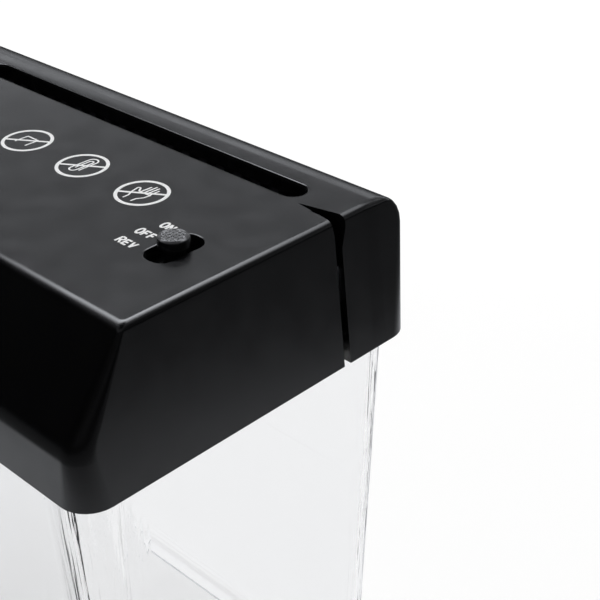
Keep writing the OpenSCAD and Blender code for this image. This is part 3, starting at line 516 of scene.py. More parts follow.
FINISHES: dict[str, Finish] = {
    # ABS, black through, from a fine tool: dark and even, a soft sheen and a few specks of lint
    "black_shell": MouldedPlastic("Moulded_ABS_black", "#040405", "#070708", roughness=0.22, grain=0.5,
                                  grain_depth=0.006, dust=0.10),
    # the same ABS inside the head, from a plainer tool: charcoal, with a broad sheen
    "chassis_plastic": MouldedPlastic("Moulded_ABS_charcoal", "#1d1d20", "#232326", roughness=0.38),
    # polystyrene from a polished tool: clear walls with glassy edges and drawn-out lines at the corners
    "clear_bin": ClearPolystyrene("Polystyrene_clear"),
    # ABS, padded on top: black sides, and pads painted paler, a painted sheen where the lamps above light
    # them
    "knob_plastic": MouldedPlastic("Moulded_ABS_knob", "#070708", "#0a0a0b", roughness=0.24, ior=1.58,
                                   grain=0.4, grain_depth=0.008, painted_sheen="#3a3a3c"),
    # unfilled nylon, moulded: warm white, matt
    "switch_plastic": MouldedPlastic("Moulded_nylon_natural", "#cfcabb", "#d9d5c8", roughness=0.5, ior=1.53),
    # hardened and ground steel: bright, with lines along the grinding
    "tool_steel": Metal("Ground_tool_steel", "#9a9da1", "#aeb1b5", 0.28, Direction.Z, 0.35),
    # zinc-plated sheet: pale grey and satin, with the lines of the mill
    "plated_steel": Metal("Zinc_plated_sheet", "#a9acb0", "#bfc2c5", 0.34, Direction.Y, 0.8),
    # bright zinc on turned and headed parts: pale and clean
    "fasteners": Metal("Zinc_plated_screw", "#b3b6b9", "#c8cacc", 0.26),
    # steel powder, pressed and sintered: dark grey, dull, porous
    "sintered_steel": Sintered("Sintered_steel", "#6d6e70", "#3b3b3d"),
    # acetal, moulded: opaque white and waxy
    "nylon": MouldedPlastic("Moulded_acetal_white", "#dedbd0", "#e6e4da", roughness=0.38, ior=1.48),
    # sintered bronze soaked in oil: brown gold with dark pores
    "bronze": Sintered("Oiled_bronze", "#a77b49", "#5e4226"),
    # glass-filled nylon, moulded: black and matt, with a coarse grain
    "black_insulator": MouldedPlastic("Glass_filled_nylon_black", "#161617", "#1f1f20", roughness=0.55,
                                      ior=1.53, grain=0.7, grain_depth=0.02),
    # glass-fibre laminate under lacquer: green and glossy, faintly woven
    "circuit_board": Laminate("Lacquered_laminate_green"),
    # shrink sleeve on a steel cell: plain, dark and smooth, with a copper band
    "cell_jacket": CellJacket("Cell_sleeve"),
}
# pad-printed ink: bright white and matt
WHITE_INK = PrintedInk("Printed_ink_white", "#fdfdfd", "#ececec")


# ------------------------------------------------------------------ surfaces


# points of a faceted shell that lie closer than this many millimetres are one point
SAME_POINT = 0.002
# a length under this many millimetres counts as none
SLIVER = 0.001
# faces that turn by less than this many degrees are one face
FLAT = 0.05
# how much more a wide face counts than a narrow one where they meet
WIDE_WEIGHT = 1000.0
# a floor under lengths that something is divided by
TINY = 1e-12


def grid_faces(rows: int, columns: int, closed: bool = False) -> Array:
    """Quads of a grid of points numbered row by row, where the last point of each row joins its first.

    Args:
        rows: how many rows of points.
        columns: how many points in a row.
        closed: whether the last row joins the first.

    Returns:
        One row of four point numbers for each quad.
    """
    i = np.arange(rows if closed else rows - 1)[:, None]
    j = np.arange(columns)[None, :]
    k, n = (i + 1) % rows, (j + 1) % columns
    corners = [i * columns + j, i * columns + n, k * columns + n, k * columns + j]
    return np.stack([np.broadcast_to(c, (i.size, j.size)) for c in corners], -1).reshape(-1, 4)


def make_piece(name: str, points: Array, faces: Sequence[Sequence[int]], finish: Material,
               body: str, angle: float = 35.0) -> Object:
    """Makes a mesh piece in its place, dresses it and lets it ride on a body.

    Args:
        name: the piece's name.
        points: its points in metres, one row each.
        faces: point numbers of each face, turned outwards.
        finish: its material.
        body: the body it rides on.
        angle: edges sharper than this many degrees stay sharp.

    Returns:
        The new object.
    """
    mesh = bpy.data.meshes.new(name)
    mesh.from_pydata(points.tolist(), [], [list(map(int, f)) for f in faces])
    mesh.validate()
    return place_mesh(name, mesh, finish, body, angle)


def place_mesh(name: str, mesh: Mesh, finish: Material, body: str, angle: float) -> Object:
    """Links a finished mesh as a piece with one material.

    Args:
        name: the piece's name.
        mesh: its mesh, in place.
        finish: its material.
        body: the body it rides on.
        angle: edges sharper than this many degrees stay sharp.

    Returns:
        The new object.
    """
    mesh.shade_smooth()
    mesh.set_sharp_from_angle(angle=math.radians(angle))
    mesh.materials.clear()
    mesh.materials.append(finish)
    piece = bpy.data.objects.new(name, mesh)
    bpy.context.scene.collection.objects.link(piece)
    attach(piece, body)
    return piece


def blend_normals(mesh: Mesh, angle: float, wide: float) -> Array:
    """Corner normals that keep wide faces flat and turn evenly over the narrow facets of a blend.

    At each corner the normals of the faces round its point that lie within the angle are added up,
    each weighted by the angle it fills at the point. A face whose area is more than wide millimetres
    times its perimeter counts a thousand times, so that it decides wherever it takes part.

    Args:
        mesh: a merged mesh.
        angle: the largest turn in degrees that is shaded smooth.
        wide: the least mean width in millimetres of a face that stays flat.

    Returns:
        One unit normal for each corner.
    """
    faces, corners = len(mesh.polygons), len(mesh.loops)
    point, begin, count = (np.empty(n, np.int32) for n in (corners, faces, faces))
    normal, area, co = np.empty(faces * 3), np.empty(faces), np.empty(len(mesh.vertices) * 3)
    mesh.loops.foreach_get("vertex_index", point)
    mesh.polygons.foreach_get("loop_start", begin)
    mesh.polygons.foreach_get("loop_total", count)
    mesh.polygons.foreach_get("normal", normal)
    mesh.polygons.foreach_get("area", area)
    mesh.vertices.foreach_get("co", co)
    normal, co = normal.reshape(-1, 3), co.reshape(-1, 3)
    face = np.repeat(np.arange(faces), count)
    step = np.arange(corners) - begin[face]
    after = begin[face] + (step + 1) % count[face]
    before = begin[face] + (step - 1) % count[face]
    out, back = (co[point[k]] - co[point] for k in (after, before))
    lengths = np.linalg.norm(out, axis=1)
    around = np.bincount(face, lengths, faces)
    cosine = (out * back).sum(1) / np.maximum(lengths * np.linalg.norm(back, axis=1), TINY)
    weight = np.arccos(np.clip(cosine, -1, 1)) * np.where(area > wide * MM * around, WIDE_WEIGHT, 1.0)[face]
    # each corner is paired with every corner at its own point: here is the one and there is the other
    order = np.argsort(point, kind="stable")
    shared = np.bincount(point, minlength=len(co))
    first = np.cumsum(shared) - shared
    partners = shared[point[order]]
    here = np.repeat(order, partners)
    turn = np.arange(len(here)) - np.repeat(np.cumsum(partners) - partners, partners)
    there = order[first[point[here]] + turn]
    close = (normal[face[here]] * normal[face[there]]).sum(1) > math.cos(math.radians(angle))
    share = normal[face[there]] * (weight[there] * close)[:, None]
    total = np.stack([np.bincount(here, share[:, k], corners) for k in range(3)], 1)
    return total / np.maximum(np.linalg.norm(total, axis=1, keepdims=True), TINY)


@dataclass(frozen=True)
class Crown:
    """The slight fall of the top panel towards its rear edge.

    The lines are places along Y, and tilts are the extra slopes there in degrees. The fall fades out over
    the depth of fade, and the bending stretch is split into strips.
    """

    lines: tuple[float, ...] = (33.3, 34.4, 38.0, 40.5, 43.0)
    tilts: tuple[float, ...] = (0.0, 3.4, 5.8, -5.0, 0.0)
    fade: float = 8.0
    strips: int = 7
    samples: int = 400

    def cuts(self) -> list[float]:
        """The lines along which a flat panel is split so that it can bend."""
        return np.linspace(self.lines[0], self.lines[2], self.strips + 1).tolist()

    def bend(self, mesh: Mesh) -> None:
        """Lowers the points behind the first line.

        The extra slope changes evenly from each line to the next, the fall is its running sum, and it
        fades out with depth below the highest point.

        Args:
            mesh: the mesh to bend, in metres.
        """
        co = np.empty(len(mesh.vertices) * 3)
        mesh.vertices.foreach_get("co", co)
        co = co.reshape(-1, 3) / MM
        y = np.linspace(self.lines[0], self.lines[-1], self.samples)
        slope = np.tan(np.radians(np.interp(y, self.lines, self.tilts)))
        fall = np.interp(co[:, 1], y, np.cumsum(slope) * (y[1] - y[0]))
        co[:, 2] -= fall * np.clip(1 - (co[:, 2].max() - co[:, 2]) / self.fade, 0, 1)
        mesh.vertices.foreach_set("co", (co * MM).ravel())


def smoothed_copy(node: str, name: str, finish: Material, body: str, angle: float, wide: float,
                  crown: Crown | None = None) -> Object:
    """A copy of a faceted CAD node with its points merged and its blends shaded smooth.

    Args:
        node: the CAD node that the piece stands for.
        name: the piece's name.
        finish: its material.
        body: the body it rides on.
        angle: edges sharper than this many degrees stay sharp.
        wide: the least mean width in millimetres of a face that stays flat.
        crown: a slight bend that the real moulding has and the node leaves out.

    Returns:
        The piece, which replaces the node.
    """
    mesh = bpy.data.meshes.new(name)
    work = bmesh.new()
    work.from_mesh(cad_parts[node].data)
    bmesh.ops.remove_doubles(work, verts=work.verts, dist=SAME_POINT * MM)
    bmesh.ops.dissolve_degenerate(work, edges=work.edges, dist=SLIVER * MM)
    bmesh.ops.dissolve_limit(work, angle_limit=math.radians(FLAT), verts=work.verts, edges=work.edges)
    for y in crown.cuts() if crown else ():
        bmesh.ops.bisect_plane(work, geom=[*work.verts, *work.edges, *work.faces], dist=SLIVER * MM,
                               plane_co=(0, y * MM, 0), plane_no=(0, 1, 0))
    work.to_mesh(mesh)
    work.free()
    if crown:
        crown.bend(mesh)
    piece = place_mesh(name, mesh, finish, body, angle)
    mesh.normals_split_custom_set(blend_normals(mesh, angle, wide).tolist())
    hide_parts(node)
    return piece


def carried_bar(path: Array, width: float, low: float, high: float, closed: bool) -> tuple[Array, Array]:
    """A flat bar of constant width carried along a level path.

    Each point of the path gives four corners: half the width to its left and right along the path's
    normal, at the two heights.

    Args:
        path: the points of the middle line, in millimetres.
        width: the bar's width.
        low: height of its underside.
        high: height of its top.
        closed: whether the path is a loop.

    Returns:
        Points in millimetres and faces.
    """
    if closed:
        ahead = np.roll(path, -1, 0) - np.roll(path, 1, 0)
    else:
        ahead = np.gradient(path, axis=0)
    ahead = ahead / np.linalg.norm(ahead, axis=1, keepdims=True)
    side = np.stack([-ahead[:, 1], ahead[:, 0]], 1) * width / 2
    corners = [(path + side, low), (path - side, low), (path - side, high), (path + side, high)]
    points = np.stack([np.column_stack([xy, np.full(len(path), z)]) for xy, z in corners], 1).reshape(-1, 3)
    faces = grid_faces(len(path), 4, closed)[:, ::-1]
    if closed:
        return points, faces
    last = 4 * (len(path) - 1)
    return points, np.vstack([faces, [[0, 1, 2, 3]], [[last + 3, last + 2, last + 1, last]]])


def rounded_outline(centre: tuple[float, float], half: tuple[float, float], radius: float,
                    grow: Array, steps: int = 14) -> Array:
    """A rounded rectangle, and the same outline grown outwards by each of several amounts.

    Each corner is a quarter circle about its own centre, whose radius is the corner radius plus the growth.

    Args:
        centre: middle of the rectangle in millimetres.
        half: its half sizes.
        radius: its corner radius.
        grow: the growths.
        steps: points in each corner.

    Returns:
        An array of growths by points by two.
    """
    turn = np.radians(np.linspace(0, 90, steps))
    turns = np.concatenate([turn + k * np.pi / 2 for k in range(4)])
    signs = np.repeat(np.array([(1, 1), (-1, 1), (-1, -1), (1, -1)]), steps, 0)
    middles = np.array(centre) + signs * (np.array(half) - radius)
    ways = np.stack([np.cos(turns), np.sin(turns)], 1)
    return middles[None] + ways[None] * (radius + grow)[:, None, None]


def joined(parts: Sequence[tuple[Array, Array]]) -> tuple[Array, Array]:
    """Joins meshes of quads into one, numbering the points on."""
    starts = np.cumsum([0] + [len(points) for points, _ in parts[:-1]])
    return (np.vstack([points for points, _ in parts]),
            np.vstack([faces + start for (_, faces), start in zip(parts, starts)]))


def arc(centre: tuple[float, float], radius: tuple[float, float], start: float, end: float,
        steps: int) -> Array:
    """Points on an ellipse: the centre plus the radii times cosine and sine from start to end degrees."""
    a = np.radians(np.linspace(start, end, steps))
    return np.stack([centre[0] + radius[0] * np.cos(a), centre[1] + radius[1] * np.sin(a)], 1)


def round_trip(centre: tuple[float, float], radius: tuple[float, float], steps: int) -> Array:
    """Evenly spaced points once round an ellipse, where the last stands one step before the first."""
    return arc(centre, radius, 0, 360 - 360 / steps, steps)


def through(*corners: tuple[float, float], points: int = 12) -> Array:
    """Straight runs through the corners, with points between so that a bar keeps its width.

    Args:
        corners: the line's start, its turns and its end.
        points: points in each run, without its end.

    Returns:
        Points along the line.
    """
    turns = np.array(corners, float)
    parts = [np.linspace(a, b, points, endpoint=False) for a, b in zip(turns[:-1], turns[1:])]
    return np.vstack([*parts, turns[-1:]])


# ------------------------------------------------------------------ sub-assemblies


@dataclass
class Shredder:
    """What every sub-assembly knows: the part's nodes and one material for each finish."""

    materials: dict[str, Material] = field(default_factory=dict)

    def material(self, slot: str) -> Material:
        """The material of a slot, made the first time it is asked for.

        Args:
            slot: the name of the slot.

        Returns:
            Its material.
        """
        if slot not in self.materials:
            self.materials[slot] = FINISHES[slot].build()
        return self.materials[slot]

    def slot_of(self, node: str) -> str:
        """The record's material slot of a CAD node."""
        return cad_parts[node].data.materials[0].name

    def dress(self, node: str, material: Material) -> None:
        """Gives a CAD node its material and says so."""
        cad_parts[node].material_slots[0].material = material
        LOG.info("%s: %s", node, material.name)


@dataclass(frozen=True)
class Mouth:
    """A rounded mouth in the top panel, and how far its edge rolls over."""

    name: str
    centre: tuple[float, float]
    half: tuple[float, float]
    radius: float
    roll: float


@dataclass
class Casing:
    """The head's moulded cover with its two lips, and the clear bin under it.

    Edges that turn by less than fold degrees shade smooth, apart from faces with a mean width over wide.
    A lip has lip_steps points over its roll and is buried in the wall that far.
    """

    kit: Shredder
    panel_z: float
    fold: float = 32.0
    wide: float = 2.0
    mouths: tuple[Mouth, ...] = (
        Mouth("slot_lip", (14.2, 29.1), (59.0, 3.2), 3.2, 0.45),
        Mouth("well_lip", (71.2, -6.1), (3.5, 6.6), 3.0, 0.4),
    )
    lip_steps: int = 6
    lip_fold: float = 50.0
    buried: float = 0.05

    def build(self) -> None:
        """Copies the two lofted shells so that their blends shade smooth, and rolls the lips."""
        for node, name, body, crown in (("top_cover", "cover_shell", "head", Crown()),
                                        ("bin", "bin_shell", "bin", None)):
            slot = self.kit.slot_of(node)
            piece = smoothed_copy(node, name, self.kit.material(slot), body, self.fold, self.wide, crown)
            LOG.info("%s: %s", piece.name, piece.active_material.name)
        for mouth in self.mouths:
            self.lip(mouth)

    def lip(self, mouth: Mouth) -> None:
        """The rolled edge round a mouth in the top panel.

        Its section is a quarter circle that starts level with the panel, roll outside the mouth, and ends
        upright at the mouth, roll below the panel; two points buried in the wall close it.

        Args:
            mouth: the mouth that the edge runs round.
        """
        sweep = np.radians(np.linspace(0, 90, self.lip_steps))
        grow = np.concatenate([mouth.roll * (1 - np.sin(sweep)), [self.buried, mouth.roll + self.buried]])
        drop = np.concatenate([mouth.roll * (1 - np.cos(sweep)), [mouth.roll + self.buried, self.buried]])
        flat = rounded_outline(mouth.centre, mouth.half, mouth.radius, grow)
        height = np.broadcast_to((self.panel_z - drop)[:, None, None], flat.shape[:2] + (1,))
        points = np.concatenate([flat, height], 2).reshape(-1, 3)
        faces = grid_faces(len(grow), flat.shape[1], closed=True)[:, ::-1]
        piece = make_piece(mouth.name, points * MM, faces, self.kit.material("black_shell"), "head",
                           self.lip_fold)
        LOG.info("%s: %s", piece.name, piece.active_material.name)


class Stroke(Enum):
    """How a stroke of the legend ends."""

    OPEN = False
    LOOP = True


@dataclass
class Legend:
    """White print on the top panel: three prohibition rings and the names of the switch's places.

    The underside of the ink stands clear of the panel by a hair, and each stroke lies one layer above the
    strokes printed before it, so that strokes that cross never share a plane. A capital is cap high and
    letter wide, and the words are given with the places of their feet.
    """

    kit: Shredder
    panel_z: float
    ink: float = 0.03
    clear: float = 0.004
    layer: float = 0.0015
    ring_x: tuple[float, ...] = (47.0, 25.9, 4.8)
    ring_y: float = 5.8
    ring_r: float = 5.82
    ring_steps: int = 72
    line: float = 0.85
    bar_share: float = 0.8
    thin_line: float = 0.42
    bar_tilt: float = 32.0
    cap: float = 2.8
    letter: float = 1.25
    letter_gap: float = 0.62
    letter_line: float = 0.54
    words: tuple[tuple[str, float], ...] = (("ON", -2.2), ("OFF", -7.3), ("REV", -12.4))
    words_right: float = 64.8

    def strokes(self, glyph: str) -> list[tuple[Array, Stroke]]:
        """The strokes of a capital letter in a box one wide and one high.

        Args:
            glyph: the letter.

        Returns:
            The middle line of each stroke, and how it ends.
        """
        if glyph == "O":
            return [(round_trip((0.5, 0.5), (0.5, 0.5), 48), Stroke.LOOP)]
        stem = through((0, 0), (0, 1))
        top = through((0, 0.92), (1, 0.92))
        bowl = np.vstack([[(0.0, 1.0)], arc((0.45, 0.76), (0.55, 0.24), 90, -90, 14), [(0.0, 0.52)]])
        drawn: dict[str, list[Array]] = {
            "N": [stem, through((0, 1), (1, 0)), through((1, 0), (1, 1))],
            "F": [stem, top, through((0, 0.5), (0.8, 0.5))],
            "R": [stem, bowl, through((0.45, 0.5), (1, 0))],
            "E": [stem, top, through((0, 0.5), (0.85, 0.5)), through((0, 0.08), (1, 0.08))],
            "V": [through((0, 1), (0.5, 0.03)), through((0.5, 0.03), (1, 1))],
        }
        return [(path, Stroke.OPEN) for path in drawn[glyph]]

    def bar(self, path: Array, width: float, ending: Stroke, order: int) -> tuple[Array, Array]:
        """One stroke as a thin layer of ink.

        Args:
            path: its middle line in millimetres.
            width: its width.
            ending: whether the line closes on itself.
            order: how many strokes were laid before it.

        Returns:
            Points in millimetres and faces.
        """
        rise = self.layer * order
        low, high = self.panel_z + self.clear + rise, self.panel_z + self.ink + rise
        return carried_bar(path, width, low, high, ending.value)

    def word(self, text: str, right: float, base: float) -> tuple[Array, Array]:
        """A word set in capitals.

        Args:
            text: the word.
            right: where its last letter ends.
            base: where its feet stand.

        Returns:
            Points in millimetres and faces.
        """
        pitch = self.letter + self.letter_gap
        left = right - pitch * len(text) + self.letter_gap
        size = np.array([self.letter, self.cap - self.letter_line])
        parts = []
        for i, glyph in enumerate(text):
            start = np.array([left + i * pitch, base + self.letter_line / 2])
            parts += [self.bar(start + path * size, self.letter_line, end, k)
                      for k, (path, end) in enumerate(self.strokes(glyph))]
        return joined(parts)

    def hand(self) -> list[Array]:
        """An open hand: four fingers side by side, the knuckles, the thumb and the two edges of the wrist.

        Returns:
            The middle lines of its strokes, round the ring's centre.
        """
        fingers = [through((x, 0.3), (x + 0.12, tip))
                   for x, tip in ((-0.7, 3.3), (0.22, 4.1), (1.14, 4.0), (2.06, 3.1))]
        knuckles = through((-1.1, 0.1), (2.5, 0.3))
        thumb = np.vstack([[(-1.1, 0.1)], arc((-2.35, 1.0), (0.42, 0.42), 30, 210, 9), [(-2.3, -1.0)]])
        left = through((-2.3, -1.0), (-1.5, -2.6), (-1.5, -4.2))
        right = through((2.4, 0.4), (2.1, -1.4), (1.2, -2.8), (1.1, -4.2))
        return [*fingers, knuckles, thumb, left, right]

    def clip(self) -> list[Array]:
        """A wire clip stood upright: three nested turns joined by straight runs.

        Returns:
            The middle line of its wire, round the ring's centre.
        """
        inner = arc((0.15, 2.3), (0.6, 0.7), 180, 0, 12)
        foot = arc((-0.25, -2.2), (1.0, 1.1), 0, -180, 14)
        outer = arc((0.1, 2.9), (1.35, 1.3), 180, 0, 16)
        return [np.vstack([[(-0.45, -1.7)], inner, foot, outer, [(1.45, -2.2)]])]

    def staple(self) -> list[Array]:
        """A staple: a back with two legs, seen square on."""
        return [through((-2.0, -2.2), (-2.0, 1.6), (2.0, 1.6), (2.0, -2.2))]

    def build(self) -> None:
        """Makes the rings with their bars and glyphs, and the three words."""
        ink = WHITE_INK.build()
        tilt = math.radians(self.bar_tilt)
        reach = np.array([math.cos(tilt), math.sin(tilt)]) * self.ring_r
        glyphs = {"hand": self.hand, "clip": self.clip, "staple": self.staple}
        for x, (name, glyph) in zip(self.ring_x, glyphs.items()):
            centre = np.array([x, self.ring_y])
            ring = round_trip((x, self.ring_y), (self.ring_r, self.ring_r), self.ring_steps)
            across = through(tuple(centre - reach), tuple(centre + reach))
            parts = [self.bar(ring, self.line, Stroke.LOOP, 0),
                     self.bar(across, self.line * self.bar_share, Stroke.OPEN, 1)]
            parts += [self.bar(centre + path, self.thin_line, Stroke.OPEN, k)
                      for k, path in enumerate(glyph(), 2)]
            self.print(f"legend_{name}", joined(parts), ink)
        for text, base in self.words:
            self.print(f"legend_{text}", self.word(text, self.words_right, base), ink)

    def print(self, name: str, shape: tuple[Array, Array], ink: Material) -> None:
        """Lays one printed shape on the cover.

        Args:
            name: the piece's name.
            shape: its points in millimetres and its faces.
            ink: its material.
        """
        points, faces = shape
        piece = make_piece(name, points * MM, faces, ink, "head")
        LOG.info("%s: %s", name, ink.name)


@dataclass
class Knob:
    """The switch's sliding knob, with a grip of small pads and a bevelled rim.

    The pads have a pitch and a depth and fade out over the last stretch before the rim. The rim is given
    as pairs of inset from the side and depth below the top. Below the cap's height the knob narrows to
    its neck, a share of the radius.
    """

    kit: Shredder
    pitch: float = 0.95
    depth: float = 0.24
    crispness: float = 0.6
    fade: float = 0.5
    rim: tuple[tuple[float, float], ...] = (
        (0.66, 0.0), (0.60, 0.012), (0.56, 0.03), (0.20, 0.215), (0.14, 0.26), (0.06, 0.36), (0.02, 0.46),
        (0.0, 0.6))
    cap: float = 2.2
    neck: float = 2.0 / 3.0
    steps: int = 144
    top_rings: int = 29
    fold: float = 30.0

    def section(self, radius: float, foot: float, top: float) -> Array:
        """The knob's section from its middle over the rim and down to the foot of its neck.

        The flat top runs out to the rim's first inset, the side goes down to the cap's underside, and the
        neck is a share of the knob's radius.

        Args:
            radius: the knob's radius.
            foot: height of its underside.
            top: height of its top.

        Returns:
            Rows of radius and height in millimetres.
        """
        flat = radius - self.rim[0][0]
        rings = [(r, top) for r in np.linspace(0.0, flat, self.top_rings + 1)[1:]]
        rings += [(radius - inset, top - drop) for inset, drop in self.rim[1:]]
        under = top - self.cap
        rings += [(radius, under), (radius * self.neck, under), (radius * self.neck, foot)]
        return np.array(rings)

    def build(self) -> None:
        """Revolves the knob's section and raises its top in rows of small pads.

        The top is lowered by the depth times one minus a power, the crispness, of the product of two
        raised cosines, one along each side of the knob, and the pads fade out towards the rim.
        """
        low, high = (np.array(corner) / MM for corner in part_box("switch_knob"))
        centre, radius = (low + high)[:2] / 2, (high - low)[0] / 2
        section = self.section(radius, low[2], high[2])
        turn = np.linspace(0, 2 * np.pi, self.steps, endpoint=False)
        x = section[:, :1] * np.cos(turn)
        y = section[:, :1] * np.sin(turn)
        waves = [0.5 + 0.5 * np.cos(2 * np.pi * along / self.pitch) for along in (x, y)]
        flat = radius - self.rim[0][0]
        on_top = section[:, 1:] > high[2] - SLIVER
        share = np.clip((flat - section[:, :1]) / self.fade, 0, 1) * on_top
        z = section[:, 1:] - self.depth * (1 - (waves[0] * waves[1]) ** self.crispness) * share
        points = np.stack([x + centre[0], y + centre[1], z], -1).reshape(-1, 3)
        faces = grid_faces(len(section), self.steps)[:, ::-1].tolist()
        # two more points close the top and the foot as fans
        first = len(points)
        points = np.vstack([points, [[*centre, high[2]], [*centre, low[2]]]])
        last = (len(section) - 1) * self.steps
        around = [(j, (j + 1) % self.steps) for j in range(self.steps)]
        faces += [(first, j, k) for j, k in around] + [(first + 1, last + k, last + j) for j, k in around]
        piece = make_piece("knob_grip", points * MM, faces, self.kit.material("knob_plastic"),
                           "switch_slider", self.fold)
        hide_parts("switch_knob")
        LOG.info("%s: %s", piece.name, piece.active_material.name)


@dataclass
class Inside:
    """Everything carried over from the CAD part with a finish of its own.

    A cell has a band at one end and a nub that sticks out there. Points within end of the box's rear side
    tell which end that is.
    """

    kit: Shredder
    own_piece: tuple[str, ...] = ("top_cover", "bin", "switch_knob")
    band: float = 14.0
    nub: float = 1.0
    nub_share: float = 0.3
    end: float = 0.1

    def cell(self, node: str) -> Material:
        """The sleeve of one cell, with its band at the end that has the nub.

        The nub is much narrower than the cell, so at that end of the box all the points stand closer to
        the middle than nub_share of its width.

        Args:
            node: the cell's CAD node.

        Returns:
            A material of its own, as the band lies at a place of its own.
        """
        low, high = (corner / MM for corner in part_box(node))
        points = np.array([v.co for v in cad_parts[node].data.vertices]) / MM
        middle = (low[0] + high[0]) / 2
        at_back = points[points[:, 1] > high[1] - self.end]
        behind = bool(np.abs(at_back[:, 0] - middle).max() < (high[0] - low[0]) * self.nub_share)
        body = (low[1], high[1] - self.nub) if behind else (low[1] + self.nub, high[1])
        return CellJacket(f"Cell_sleeve_{node[-1]}", body, self.band, behind).build()

    def build(self) -> None:
        """Dresses each remaining node from its slot."""
        for node in sorted(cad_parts):
            if node in self.own_piece:
                continue
            slot = self.kit.slot_of(node)
            self.kit.dress(node, self.cell(node) if slot == "cell_jacket" else self.kit.material(slot))


# ------------------------------------------------------------------ studio


@dataclass(frozen=True)
class Shade:
    """How the room's brightness changes with the direction.

    The dot product of the direction with way goes evenly from one brightness at start to the other at
    end, and the brightness stays as it is beyond them.
    """

    way: tuple[float, float, float]
    start: float
    end: float
    before: float
    after: float

    def mask(self, tree: NodeTree, direction: NodeSocket) -> NodeSocket:
        """Adds the nodes of the shade.

        Args:
            tree: the tree that they go into.
            direction: the direction looked in.

        Returns:
            The brightness in that direction.
        """
        cosine = add_node(tree, "VectorMath", {0: direction, 1: self.way}, operation="DOT_PRODUCT")
        return add_node(tree, "MapRange", {0: cosine.outputs["Value"], 1: self.start, 2: self.end,
                                           3: self.before, 4: self.after}).outputs[0]


